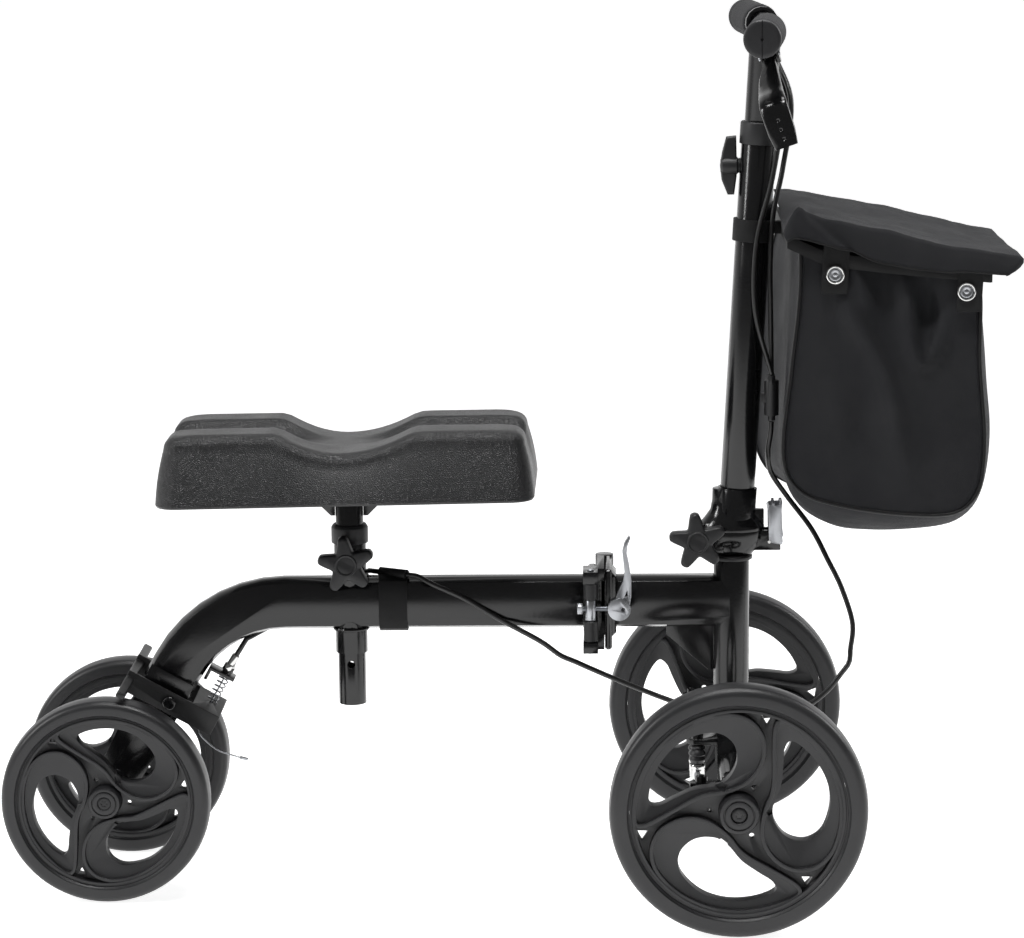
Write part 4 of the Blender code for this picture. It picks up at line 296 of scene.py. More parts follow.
# Finishes
FINISHES = {
    "frame_paint": {"slot": "powder_black", "colour": "frame", "rough": (0.15, 0.23), "grain": ("noise", 420, 0.00006)},
    "casting_paint": {
        "slot": "casting_black", "colour": "frame",
        "rough": (0.12, 0.22), "grain": ("noise", 260, 0.00012),
    },
    "satin_paint": {
        "slot": "casting_black", "colour": "frame",
        "rough": (0.40, 0.52), "grain": ("noise", 260, 0.00012),
    },
    "wheel_plastic": {
        "slot": "wheel_grey", "colour": "wheel",
        "rough": (0.36, 0.46), "grain": ("noise", 1500, 0.00003),
    },
    "tyre_rubber": {"slot": "tyre_grey", "colour": "tyre", "rough": (0.34, 0.46), "grain": ("noise", 1100, 0.00004)},
    "pad_skin": {"slot": "pad_black", "colour": "pad", "rough": (0.34, 0.44), "grain": ("cells", 620, 0.00022)},
    "knob_plastic": {"slot": "knob_black", "colour": "knob", "rough": (0.42, 0.55), "grain": ("noise", 1300, 0.00004)},
    "grip_foam": {"slot": "foam_black", "colour": "foam", "rough": (0.80, 0.95), "grain": ("cells", 1500, 0.00015)},
    "bag_nylon": {"slot": "cloth_black", "colour": "cloth", "rough": (0.62, 0.78), "grain": ("weave", 1100, 0.00010)},
    "bag_tape": {"slot": "cloth_black", "colour": "tape", "rough": (0.60, 0.75), "grain": ("weave", 700, 0.00014)},
    "bag_piping": {"slot": "cloth_black", "colour": "tape", "rough": (0.36, 0.50), "grain": ("noise", 900, 0.00004)},
    "chrome": {
        "slot": "zinc", "colour": "chrome",
        "rough": (0.10, 0.18), "grain": ("noise", 800, 0.00001), "metal": 1.0,
    },
    "zinc_plate": {
        "slot": "zinc", "colour": "zinc",
        "rough": (0.24, 0.40), "grain": ("noise", 800, 0.00003), "metal": 1.0,
    },
    "cable_sheath": {"slot": "cable_black", "colour": "cable", "rough": (0.28, 0.40), "grain": ("noise", 900, 0.00002)},
}


def node_of(tree, kind, place, **values):
    made = tree.nodes.new(kind)
    made.location = place
    for name, value in values.items():
        made.inputs[name].default_value = value
    return made


def material(name):
    """A finish as a material: colour and roughness vary slowly, and a fine grain gives the relief."""
    if name in bpy.data.materials:
        return bpy.data.materials[name]
    facts = FINISHES[name]
    made = bpy.data.materials.new(name)
    made.use_nodes = True
    tree = made.node_tree
    shader = tree.nodes["Principled BSDF"]
    shader.inputs["Metallic"].default_value = facts.get("metal", 0.0)
    colour = getattr(colours(), facts["colour"])
    place = tree.nodes.new("ShaderNodeTexCoord")
    place.location = (-1100, 0)
    drift = node_of(tree, "ShaderNodeTexNoise", (-850, 200), Scale=23.0, Detail=4.0, Roughness=0.6)
    tree.links.new(place.outputs["Object"], drift.inputs["Vector"])
    tint = tree.nodes.new("ShaderNodeMix")
    tint.location = (-450, 300)
    tint.data_type = "RGBA"
    tint.inputs["A"].default_value = (*[c * 0.82 for c in colour], 1)
    tint.inputs["B"].default_value = (*[min(1.0, c * 1.18) for c in colour], 1)
    tree.links.new(drift.outputs["Fac"], tint.inputs["Factor"])
    tree.links.new(tint.outputs["Result"], shader.inputs["Base Color"])
    shine = node_of(tree, "ShaderNodeMapRange", (-450, 60))
    shine.inputs["From Min"].default_value = 0.3
    shine.inputs["From Max"].default_value = 0.7
    shine.inputs["To Min"].default_value = facts["rough"][0]
    shine.inputs["To Max"].default_value = facts["rough"][1]
    tree.links.new(drift.outputs["Fac"], shine.inputs["Value"])
    tree.links.new(shine.outputs["Result"], shader.inputs["Roughness"])
    kind, scale, depth = facts["grain"]
    if kind == "cells":
        grain = node_of(tree, "ShaderNodeTexVoronoi", (-850, -200), Scale=scale, Randomness=1.0)
        grain.feature = "DISTANCE_TO_EDGE"
        tree.links.new(place.outputs["Object"], grain.inputs["Vector"])
        height = node_of(tree, "ShaderNodeMapRange", (-650, -200))
        height.inputs["From Max"].default_value = 0.32
        tree.links.new(grain.outputs["Distance"], height.inputs["Value"])
        relief = height.outputs["Result"]
    elif kind == "weave":
        relief = weave(tree, place, scale)
    else:
        grain = node_of(tree, "ShaderNodeTexNoise", (-850, -200), Scale=scale, Detail=3.0)
        tree.links.new(place.outputs["Object"], grain.inputs["Vector"])
        relief = grain.outputs["Fac"]
    bump = node_of(tree, "ShaderNodeBump", (-250, -200), Strength=1.0, Distance=depth)
    tree.links.new(relief, bump.inputs["Height"])
    tree.links.new(bump.outputs["Normal"], shader.inputs["Normal"])
    if facts["slot"] == "cloth_black":
        shader.inputs["Specular IOR Level"].default_value = 0.30
        shader.inputs["Sheen Weight"].default_value = 0.02
        shader.inputs["Sheen Roughness"].default_value = 0.5
    return made


def weave(tree, place, scale):
    """Threads that cross at right angles, from the piece's own UV map in metres."""
    parts = tree.nodes.new("ShaderNodeSeparateXYZ")
    parts.location = (-950, -260)
    tree.links.new(place.outputs["UV"], parts.inputs["Vector"])
    waves = []
    for number, axis in enumerate("XY"):
        times = node_of(tree, "ShaderNodeMath", (-780, -200 - 160 * number))
        times.operation = "MULTIPLY"
        times.inputs[1].default_value = scale * 2 * math.pi
        tree.links.new(parts.outputs[axis], times.inputs[0])
        wave = node_of(tree, "ShaderNodeMath", (-620, -200 - 160 * number))
        wave.operation = "SINE"
        tree.links.new(times.outputs["Value"], wave.inputs[0])
        waves.append(wave)
    crossing = node_of(tree, "ShaderNodeMath", (-460, -260))
    crossing.operation = "MULTIPLY"
    tree.links.new(waves[0].outputs["Value"], crossing.inputs[0])
    tree.links.new(waves[1].outputs["Value"], crossing.inputs[1])
    return crossing.outputs["Value"]


# Wheels
WINDOW = (
    (0.271, 0.065),
    (0.268, -0.060),
    (0.355, -0.190),
    (0.505, -0.234),
    (0.640, -0.150),
    (0.703, 0.060),
    (0.665, 0.270),
    (0.550, 0.452),
    (0.410, 0.560),
    (0.352, 0.505),
    (0.342, 0.380),
    (0.325, 0.215),
)
RIB_ROUTE = (
    (0.284, 0.690),
    (0.272, 0.590),
    (0.270, 0.417),
    (0.270, 0.259),
    (0.252, 0.144),
    (0.209, 0.043),
    (0.182, -0.072),
    (0.183, -0.190),
    (0.223, -0.302),
    (0.309, -0.398),
    (0.439, -0.458),
    (0.583, -0.440),
    (0.694, -0.350),
    (0.755, -0.225),
    (0.785, -0.080),
    (0.783, 0.085),
    (0.750, 0.245),
    (0.688, 0.390),
    (0.595, 0.520),
    (0.490, 0.625),
    (0.395, 0.700),
    (0.325, 0.728),
)
HUB_POCKET = ((-0.105, 0.175), (-0.160, 0.185), (-0.240, 0.255), (-0.215, 0.262), (-0.130, 0.235), (-0.085, 0.215))
RIB_HALF = 0.0165
RIM_RING = 0.80
TYRE_SEAT = 0.84
WEB_HALF = 0.003
WHEEL_TURNS = {("front", "right"): 0, ("front", "left"): 40, ("rear", "right"): 57, ("rear", "left"): 100}


def closed_curve(points, steps):
    """A smooth closed flat loop through the given points."""
    loop = []
    count = len(points)
    for number in range(count):
        a, b, c, d = (Vector(points[(number + shift) % count]) for shift in (-1, 0, 1, 2))
        for step in range(steps):
            t = step / steps
            spot = 0.5 * (2 * b + (c - a) * t + (2 * a - 5 * b + 4 * c - d) * t**2 + (3 * b - a - 3 * c + d) * t**3)
            loop.append((spot.x, spot.y))
    return loop


def grown(loop, distance):
    """The loop moved outwards by a distance."""
    moved = []
    count = len(loop)
    for number in range(count):
        before, here, after = (Vector(loop[(number + shift) % count]) for shift in (-1, 0, 1))
        along = ((here - before).normalized() + (after - here).normalized()).normalized()
        moved.append((here.x + along.y * distance, here.y - along.x * distance))
    return moved


def spun(loop, turn):
    c, s = math.cos(turn), math.sin(turn)
    return [(c * x - s * y, s * x + c * y) for x, y in loop]


def ring_loop(radius, count, start=0.0, centre=(0, 0)):
    loop = []
    for k in range(count):
        turn = start + 2 * math.pi * k / count
        loop.append((centre[0] + radius * math.cos(turn), centre[1] + radius * math.sin(turn)))
    return loop


def rounded_rib(route, radius, half):
    """A closed ridge along a flat loop on both faces of the wheel, with rounded shoulders."""
    width = RIB_HALF * radius
    round_off = 0.34 * width
    steps = [(width, -half + round_off), (width, half - round_off)]
    for k in (1, 2, 3):
        turn = math.radians(30 * k)
        steps.append((width - round_off * (1 - math.cos(turn)), half - round_off * (1 - math.sin(turn))))
    steps += [(-across, height) for across, height in reversed(steps[1:])]
    steps += [(-width, -half + round_off)]
    for k in (1, 2, 3):
        turn = math.radians(30 * k)
        steps.append((round_off * (1 - math.cos(turn)) - width, round_off * (1 - math.sin(turn)) - half))
    steps += [(-across, height) for across, height in reversed(steps[-3:])]
    rings = []
    for across, height in steps:
        rings.append([Vector((x, y, height)) for x, y in grown(route, across)])
    return loft(rings, "window_rib", closed=True)


def wheel_centre(radius, width, hub_half, name):
    """The moulded centre: hub, web with three comma-shaped windows, a raised rib round each, and the rim ring."""
    rim_half = 0.40 * width
    moat_half = rim_half * 0.52
    rib_half = rim_half - 0.0008
    seat = TYRE_SEAT * radius
    front = [
        (0.0063, -0.0060),
        (0.062 * radius, -0.0060),
        (0.064 * radius, -0.0006),
        (0.068 * radius, 0.0),
        (0.106 * radius, 0.0),
        (0.109 * radius, -0.0016),
        (0.119 * radius, -0.0016),
        (0.122 * radius, 0.0),
        (0.146 * radius, -0.0003),
        (0.153 * radius, -0.0018),
    ]
    profile = [(reach, hub_half + drop) for reach, drop in front]
    profile += [
        (0.158 * radius, WEB_HALF),
        (RIM_RING * radius, WEB_HALF),
        (RIM_RING * radius, rim_half),
        (0.822 * radius, rim_half),
        (0.826 * radius, rim_half - 0.0008),
        (seat, rim_half - 0.0008),
        (seat, -rim_half),
        (RIM_RING * radius, -rim_half),
        (RIM_RING * radius, -WEB_HALF),
        (0.170 * radius, -WEB_HALF),
        (0.160 * radius, 0.002 - hub_half),
        (0.0063, 0.002 - hub_half),
    ]
    sides = sizes().wheel_points
    disc = lathe(profile, name, sides=sides, closed=True)
    window = closed_curve([(x * radius, y * radius) for x, y in WINDOW], 6)
    route = closed_curve([(x * radius, y * radius) for x, y in RIB_ROUTE], 4)
    joined = []
    holes = []
    for number in range(3):
        turn = number * 2 * math.pi / 3
        joined.append(rounded_rib(spun(route, turn), radius, rib_half))
        joined.append(prism(spun(route, turn), moat_half, "moat_plate"))
        holes.append(prism(spun(window, turn), 2 * rim_half, "window"))
        corner = ring_loop(0.052 * radius, 3, math.radians(75), (0.764 * radius, 0))
        holes.append(prism(spun(corner, turn + math.radians(73.5)), 2 * rim_half, "rim_hole"))
        pocket = [(x * radius, y * radius) for x, y in HUB_POCKET]
        for face in (-1, 1):
            place = Matrix.Translation((0, 0, face * (rim_half + 0.001)))
            holes.append(prism(spun(pocket, turn), rim_half - 0.0008, "hub_pocket", place))
        pin = ring_loop(0.022 * radius, 12, 0, (0.222 * radius, 0))
        holes.append(prism(spun(pin, turn + math.radians(57)), 2 * rim_half, "pin_hole"))
    ring = [(0.157 * radius, -1), (0.157 * radius, 1), (0.802 * radius, 1), (0.802 * radius, -1)]
    limit = lathe(ring, "limit", sides=sides, closed=True)
    for piece in joined:
        inside = piece.modifiers.new("inside", "BOOLEAN")
        inside.operation = "INTERSECT"
        inside.solver = "EXACT"
        inside.object = limit
        settle(piece)
    bpy.data.objects.remove(limit, do_unlink=True)
    boolean(disc, joined, "UNION")
    boolean(disc, holes, "DIFFERENCE")
    return softened(disc, sizes().edge_round, 40)


def tyre_ring(radius, width, name):
    """A solid tyre: flat sides with a shallow groove by the rim and a gently crowned tread."""
    seat = TYRE_SEAT * radius + 0.0002
    half = width / 2
    profile = [(seat, 0.80 * half), (0.852 * radius, 0.86 * half), (0.862 * radius, 0.985 * half)]
    profile.append((0.925 * radius, half))
    for step in range(9):
        turn = math.radians(10 + 80 * step / 8)
        profile.append((0.925 * radius + 0.068 * radius * math.sin(turn), (0.52 + 0.48 * math.cos(turn)) * half))
    profile.append((0.9975 * radius, 0.30 * half))
    profile.append((radius, 0.0))
    mirrored = [(r, -h) for r, h in reversed(profile[:-1])]
    return softened(lathe(profile + mirrored, name, sides=sizes().wheel_points, closed=True), 0)


def wheel_bolt(radius, hub_half, name, place):
    """The axle bolt's head in the hub: a washer and a round head with a star recess."""
    low = hub_half - 0.006
    profile = [(0, low), (0.090 * radius, low), (0.090 * radius, low + 0.0012), (0.0075, low + 0.0014)]
    profile += [(0.0070, low + 0.0042), (0.0058, low + 0.0052), (0.0044, low + 0.0054), (0, low + 0.0054)]
    head = lathe(profile, name, place, 32)
    star = []
    for k in range(36):
        turn = 2 * math.pi * k / 36
        reach = 0.0027 + 0.0006 * math.cos(6 * turn)
        star.append((reach * math.cos(turn), reach * math.sin(turn)))
    recess = prism(star, 0.002, "recess", place @ Matrix.Translation((0, 0, low + 0.0054)))
    boolean(head, [recess], "DIFFERENCE")
    return softened(head, 0.0002)


def build_wheels():
    for end, radius, width, x, track in (
        ("front", FRONT_R, 0.032, 0.0, FRONT_TRACK),
        ("rear", REAR_R, 0.030, -WHEELBASE, REAR_TRACK),
    ):
        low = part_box(f"{end}_right_rim")[0]
        hub_half = abs(low[1] + track / 2)
        centre = wheel_centre(radius, width, hub_half, f"{end}_wheel_centre")
        ring = tyre_ring(radius, width, f"{end}_wheel_tyre")
        for side, sign, axis in (("right", -1, "-Y"), ("left", 1, "+Y")):
            turned = Matrix.Rotation(math.radians(WHEEL_TURNS[end, side]), 4, "Z")
            place = facing(axis, at(x, sign * track / 2, radius)) @ turned
            body = f"{end}_{side}_wheel"
            for kind, shape, finish in (("rim", centre, "wheel_plastic"), ("tyre", ring, "tyre_rubber")):
                node = f"{end}_{side}_{kind}"
                item = bpy.data.objects.new(f"{node}_finished", shape.data.copy())
                bpy.context.scene.collection.objects.link(item)
                item.data.transform(place)
                finished(item, body, finish, node)
            bolt = wheel_bolt(radius, hub_half, f"{end}_{side}_axle_bolt", place)
            finished(bolt, body, "knob_plastic")
        bpy.data.objects.remove(centre, do_unlink=True)
        bpy.data.objects.remove(ring, do_unlink=True)


# Everything that keeps the model's own shape
PAINTED = (
    "rear_beam",
    "seat_sleeve",
    "rear_fork",
    "seat_post",
    "seat_plate",
    "front_beam",
    "head_tube",
    "steering_bridge",
    "steerer_and_plate",
    "right_knuckle",
    "left_knuckle",
    "column_tube",
    "stem_and_bar",
)
CAST = (
    "rear_hinge_casting",
    "front_hinge_casting",
    "fold_base",
    "fold_head",
    "right_lever_bracket",
    "left_lever_bracket",
    "rear_cable_stop",
    "brake_pivot_bolt",
)
PLASTIC = (
    "sleeve_collar",
    "rear_axle",
    "head_bearing",
    "column_collar",
    "cable_junction",
)
PLATED = (
    "brake_wire",
    "cam_lever",
)


def build_model_pieces(nodes, finish, width):
    for node in nodes:
        from_model(node, finish, width)


# Knobs
KNOB_R = 0.0265
KNOB_LOBE = ((0, 1.0), (5, 0.99), (9, 0.95), (12, 0.87), (16, 0.77), (21, 0.67), (27, 0.585), (32, 0.54), (36, 0.53))


def lobe_reach(degrees):
    """Reach of the star knob's edge at an angle from the middle of its lobe, as a share of its radius."""
    for (a, near), (b, far) in zip(KNOB_LOBE, KNOB_LOBE[1:]):
        if degrees <= b:
            return near + (far - near) * (degrees - a) / (b - a)
    return KNOB_LOBE[-1][1]


def build_star_knob(node):
    """A moulded five-lobed knob with soft edges, a round boss with a ring, and its plated stud."""
    box = node_box(node)
    x, z = (sum(corner[axis] for corner in box) / 8 for axis in (0, 2))
    z -= 0.0013
    front = min(corner.y for corner in box) + 0.0012
    back = front + 0.0130
    rings = []
    for depth, inset in (
        (back, 0.0034),
        (back, 0.0016),
        (back - 0.0010, 0.0004),
        (back - 0.0026, 0.0),
        (front + 0.0032, 0.0),
        (front + 0.0014, 0.0006),
        (front + 0.0004, 0.0018),
        (front, 0.0036),
    ):
        ring = []
        for k in range(120):
            degrees = 3.0 * k
            share = (degrees + 36) % 72 - 36
            reach = KNOB_R * lobe_reach(abs(share)) - inset
            turn = math.radians(degrees + 97)
            ring.append(at(x + reach * math.cos(turn), depth, z + reach * math.sin(turn)))
        rings.append(ring)
    knob = softened(loft(rings, f"{node}_star"), 0)
    body = body_holding(node)
    finished(knob, body, "knob_plastic", node)
    place = facing("-Y", at(x, front, z))
    boss = [(0.0, -0.0004), (0.0070, -0.0004), (0.0078, 0.0), (0.0084, 0.0010), (0.0094, 0.0012), (0.0102, 0.0006)]
    boss += [(0.0106, -0.0006), (0.0106, -0.004), (0.0, -0.004)]
    finished(softened(lathe(boss, "knob_boss", place, 48), 0), body, "knob_plastic")
    stem = facing("+Y", at(x, back, z))
    neck = [(0.0, -0.002), (0.0082, -0.002), (0.0078, 0.0026), (0.0072, 0.0030), (0.0, 0.0030)]
    finished(softened(lathe(neck, "knob_neck", stem, 32), 0), body, "knob_plastic")
    reach = max(corner.y for corner in box) - back
    stud = [(0.0, 0.001), (0.0038, 0.001), (0.0038, reach - 0.0006), (0.0032, reach), (0.0, reach)]
    finished(softened(lathe(stud, "knob_stud", stem, 24), 0), body, "zinc_plate")


def node_box(node):
    """Corners of a node's own box, from the front axle line."""
    item = bpy.data.objects[node]
    return [item.matrix_world @ Vector(corner) - Vector((FRONT_X, 0, 0)) for corner in item.bound_box]


def build_height_knob():
    """The winged screw on the back of the column: two tapered wings on a round hub with a ribbed neck."""
    outline = ((-0.0262, 0.0262), (-0.0172, 0.0272), (-0.0168, 0.0095), (-0.0168, -0.0095), (-0.0190, -0.0262))
    outline += ((-0.0250, -0.0262), (-0.0304, -0.0130), (-0.0318, 0.0), (-0.0300, 0.0120))
    box = node_box("height_knob")
    back = min(corner.x for corner in box)
    shift = back + 0.0318
    middle = sum((corner for corner in box), Vector()) / 8
    work = bmesh.new()
    rings = []
    for y, scale in ((-0.0065, 0.80), (-0.0058, 0.92), (-0.0040, 1.0), (0.0040, 1.0), (0.0058, 0.92), (0.0065, 0.80)):
        ring = []
        for px, pz in outline:
            taper = 1.0 - 0.30 * abs(pz) / 0.027
            x = shift + (px + 0.0240) * scale - 0.0240
            ring.append(work.verts.new(at(x, y * taper, middle.z + pz * (0.5 + 0.5 * scale))))
        rings.append(ring)
    for first, second in zip(rings, rings[1:]):
        for k in range(len(first)):
            j = (k + 1) % len(first)
            work.faces.new((first[k], first[j], second[j], second[k]))
    work.faces.new(rings[0])
    work.faces.new(list(reversed(rings[-1])))
    wings = softened(mesh_piece("height_knob_wings", work), 0.0016, 25, 3)
    body = body_holding("height_knob")
    finished(wings, body, "knob_plastic", "height_knob")
    stem = facing("+X", at(back, 0, middle.z))
    hub = [(0.0, 0.0004), (0.0060, 0.0004), (0.0082, 0.0022), (0.0088, 0.0060), (0.0084, 0.0150), (0.0070, 0.0162)]
    hub += [(0.0, 0.0162)]
    finished(softened(lathe(hub, "height_knob_hub", stem, 40), 0), body, "knob_plastic")
    long = max(corner.x for corner in box) - back
    neck = [(0.0, 0.0150)]
    for k in range(5):
        neck += [(0.0062, 0.0156 + 0.0014 * k), (0.0070, 0.0160 + 0.0014 * k), (0.0070, 0.0166 + 0.0014 * k)]
    neck += [(0.0040, 0.0224), (0.0036, long - 0.0004), (0.0, long)]
    finished(softened(lathe(neck, "height_knob_neck", stem, 32), 0), body, "knob_plastic")


# Handlebar
LEVER_TILT = {"right": math.radians(-19), "left": math.radians(-28)}
LEVER_PIVOT = (-0.0060, 0.0655, -0.0210)
BLADE = (
    (-0.0060, 0.0625, -0.0215, 0.0044),
    (-0.0060, 0.0760, -0.0243, 0.0046),
    (-0.0080, 0.0900, -0.0300, 0.0073),
    (-0.0100, 0.1080, -0.0375, 0.0096),
    (-0.0110, 0.1300, -0.0460, 0.0108),
    (-0.0110, 0.1480, -0.0505, 0.0116),
    (-0.0110, 0.1590, -0.0560, 0.0123),
    (-0.0110, 0.1640, -0.0670, 0.0123),
    (-0.0110, 0.1660, -0.0810, 0.0120),
    (-0.0110, 0.1668, -0.0945, 0.0100),
)


def bar_frame(side, turn=0.0):
    """The frame of one swept-back half of the bar; its Y axis is the bar."""
    sign = 1 if side == "left" else -1
    place = at(BAR_X + BAR_HALF * math.sin(BAR_SWEEP), sign * BAR_HALF * (1 - math.cos(BAR_SWEEP)), BAR_Z)
    return Matrix.Translation(place) @ Matrix.Rotation(sign * BAR_SWEEP, 4, "Z") @ Matrix.Rotation(turn, 4, "Y")


def build_grip(side):
    """A foam sleeve with stepped rings at its outer end and a rubber cap with a slit."""
    sign = 1 if side == "left" else -1
    node = f"{side}_grip"
    inner, radius = BAR_HALF - 0.112, 0.0165
    place = bar_frame(side) @ facing("+Y" if sign > 0 else "-Y", Vector((0, 0, 0)))
    profile = [(0.0114, inner), (0.0140, inner), (0.0156, inner + 0.0008), (radius, inner + 0.0030)]
    profile += [(radius + 0.0001 * math.sin(k), inner + 0.006 + 0.008 * k) for k in range(10)]
    outer = BAR_HALF
    profile += [(radius, outer - 0.0180), (0.0156, outer - 0.0172), (0.0156, outer - 0.0160), (radius, outer - 0.0152)]
    profile += [(radius, outer - 0.0110), (0.0156, outer - 0.0102), (0.0156, outer - 0.0090), (radius, outer - 0.0082)]
    profile += [(radius, outer - 0.0020), (0.0160, outer), (0.0114, outer)]
    finished(softened(lathe(profile, f"{side}_grip_foam", place, 64, closed=True), 0), "handlebar", "grip_foam", node)
    cap = [(0.0, outer + 0.0012), (0.0013, outer + 0.0012), (0.0014, outer + 0.0036), (0.0120, outer + 0.0038)]
    cap += [(0.0152, outer + 0.0036), (0.0160, outer + 0.0030), (0.0163, outer + 0.0018)]
    cap += [(0.0163, outer + 0.0003), (0.0, outer + 0.0003)]
    disc = softened(lathe(cap, f"{side}_grip_cap", place, 64), 0)
    work = bmesh.new()
    bmesh.ops.create_cube(work, size=1)
    slit = mesh_piece("slit", work)
    slit.matrix_world = place @ Matrix.Translation((0, 0, outer + 0.0036)) @ Matrix.Diagonal((0.0009, 0.040, 0.0022, 1))
    settle(slit)
    boolean(disc, [slit], "DIFFERENCE")
    finished(softened(disc, 0), "handlebar", "tyre_rubber")


def build_lever(side):
    """A pressed lever: a blade with rolled edges, a lip turned down at its end with four dimples, hub and pin."""
    sign = 1 if side == "left" else -1
    place = bar_frame(side, LEVER_TILT[side])
    body = body_holding(f"{side}_brake_lever")
    count = 46
    middles = curve_through([(x, sign * y, z) for x, y, z, _ in BLADE], count)
    marks = [Vector((x, sign * y, z)) for x, y, z, _ in BLADE]
    halves = []
    for point in middles:
        nearest = sorted(range(len(marks)), key=lambda k: (marks[k] - point).length)[:2]
        a, b = (marks[k] - point for k in nearest)
        share = a.length / max(a.length + b.length, 1e-9)
        halves.append(BLADE[nearest[0]][3] * (1 - share) + BLADE[nearest[1]][3] * share)
    rings = []
    for number, point in enumerate(middles):
        before, after = middles[max(number - 1, 0)], middles[min(number + 1, count - 1)]
        along = (after - before).normalized()
        across = Vector((1, 0, 0))
        normal = along.cross(across).normalized() * -sign
        half = halves[number]
        ring = []
        over = [(-1.0, -0.0014), (-0.97, 0.0004), (-0.88, 0.0014), (-0.5, 0.0019), (0, 0.0021), (0.5, 0.0019)]
        over += [(0.88, 0.0014), (0.97, 0.0004), (1.0, -0.0014)]
        under = [(0.93, -0.0014), (0.88, -0.0002), (0.5, 0.0004), (0, 0.0006), (-0.5, 0.0004), (-0.88, -0.0002)]
        under += [(-0.93, -0.0014)]
        for share, lift in over + under:
            ring.append(place @ (point + across * half * share + normal * lift))
        rings.append(ring)
    blade = softened(loft(rings, f"{side}_lever_blade"), 0)
    bumps = []
    for share in (0.06, 0.30, 0.54, 0.78):
        spot = Vector((-0.0110, sign * 0.1640, -0.0600)).lerp(Vector((-0.0110, sign * 0.1668, -0.0945)), share)
        work = bmesh.new()
        bmesh.ops.create_uvsphere(work, u_segments=20, v_segments=12, radius=0.0026)
        bump = mesh_piece("dimple", work)
        bump.matrix_world = Matrix.Translation(place @ (spot + Vector((0, sign * 0.0038, 0))))
        bumps.append(settle(bump))
    boolean(blade, bumps, "DIFFERENCE")
    finished(softened(blade, 0), body, "casting_paint", f"{side}_brake_lever")
    x, y, z = LEVER_PIVOT
    hub = place @ facing("+X", Vector((x, sign * y, z)))
    core = [(0.0, -0.0052), (0.0044, -0.0052), (0.0050, -0.0046), (0.0050, 0.0046), (0.0044, 0.0052), (0.0, 0.0052)]
    finished(softened(lathe(core, f"{side}_lever_hub", hub, 32), 0), body, "casting_paint")
    pin = [(0.0, -0.0100), (0.0017, -0.0100), (0.0022, -0.0094), (0.0022, 0.0094), (0.0017, 0.0100), (0.0, 0.0100)]
    finished(softened(lathe(pin, f"{side}_lever_pin", hub, 20), 0), body, "zinc_plate")


# Plated pieces
def build_swing_bolt():
    """The latch's swing bolt: silver barrel between two black bushes, threaded rod and nut."""
    x, y, z = -0.1300, -0.0380, 0.2615
    upright = Matrix.Translation(at(x, y, 0))
    silver = [(0.0, z + 0.0082), (0.0044, z + 0.0082), (0.0049, z + 0.0076), (0.0049, z - 0.0104), (0.0044, z - 0.0110)]
    silver += [(0.0, z - 0.0110)]
    finished(softened(lathe(silver, "swing_barrel", upright, 36), 0), "latch_swing", "zinc_plate", "swing_bolt")
    for low, high in ((z + 0.0086, z + 0.0242), (z - 0.0307, z - 0.0114)):
        bush = [(0.0, low), (0.0058, low), (0.0066, low + 0.0008), (0.0066, high - 0.0008), (0.0058, high), (0.0, high)]
        finished(softened(lathe(bush, "swing_bush", upright, 36), 0), "latch_swing", "knob_plastic")
    for low, high in ((z + 0.0242, 0.2985), (0.2195, z - 0.0307)):
        pin = [(0.0, low), (0.0026, low), (0.0030, low + 0.0004), (0.0030, high - 0.0004), (0.0026, high), (0.0, high)]
        finished(softened(lathe(pin, "swing_pin", upright, 24), 0), "latch_swing", "zinc_plate")
    along = facing("+X", at(x, y, z))
    thread = [(0.0, -0.0100)]
    reach = 0.0100
    for k in range(int((reach + 0.0215) / 0.0008)):
        level = -0.0100 + 0.0008 * k
        thread += [(0.0021, level), (0.0025, level + 0.0004)]
    thread += [(0.0021, 0.0225), (0.0, 0.0225)]
    finished(softened(lathe(thread, "swing_thread", along, 24), 0), "latch_swing", "zinc_plate")
    nut = prism(ring_loop(0.0053, 6), 0.0026, "swing_nut", along @ Matrix.Translation((0, 0, -0.0098)))
    finished(softened(nut, 0.0005), "latch_swing", "zinc_plate")


def build_adjuster():
    """The plated barrel adjuster, round the barrel that stands on the cable stop's tongue."""
    end, before = at(*CABLE_TO_BRAKE[-1]), at(*CABLE_TO_BRAKE[-2])
    axis = (before - end).normalized()
    place = Matrix.Translation(end - axis * 0.0205) @ axis.to_track_quat("Z", "Y").to_matrix().to_4x4()
    barrel = [(0.0030, 0.0030), (0.0050, 0.0030), (0.0053, 0.0034), (0.0053, 0.0094), (0.0050, 0.0099)]
    barrel += [(0.0038, 0.0103), (0.0038, 0.0196), (0.0035, 0.0202), (0.0030, 0.0202)]
    finished(softened(lathe(barrel, "adjuster_barrel", place, 24, closed=True), 0), "rear_frame", "chrome")


def build_weld(name, body, ring, radius=0.0017):
    """A weld bead along a closed ring: a rounded seam with the ripples of the weld pool."""
    radii = [radius * (1 + 0.16 * math.sin(k * 1.9) + 0.10 * math.sin(k * 0.7)) for k in range(len(ring))]
    finished(softened(tube(ring, radii, name, 8, closed=True), 0), body, "frame_paint")


def build_welds():
    """Weld beads where the seat sleeve goes through the top and the bottom of the rear beam."""
    for z in (0.2854, 0.2366):
        ring = []
        for k in range(96):
            turn = 2 * math.pi * k / 96
            ring.append(at(SEAT_X + 0.0152 * math.cos(turn), 0.0152 * math.sin(turn), z))
        build_weld("sleeve_weld", "rear_frame", ring)


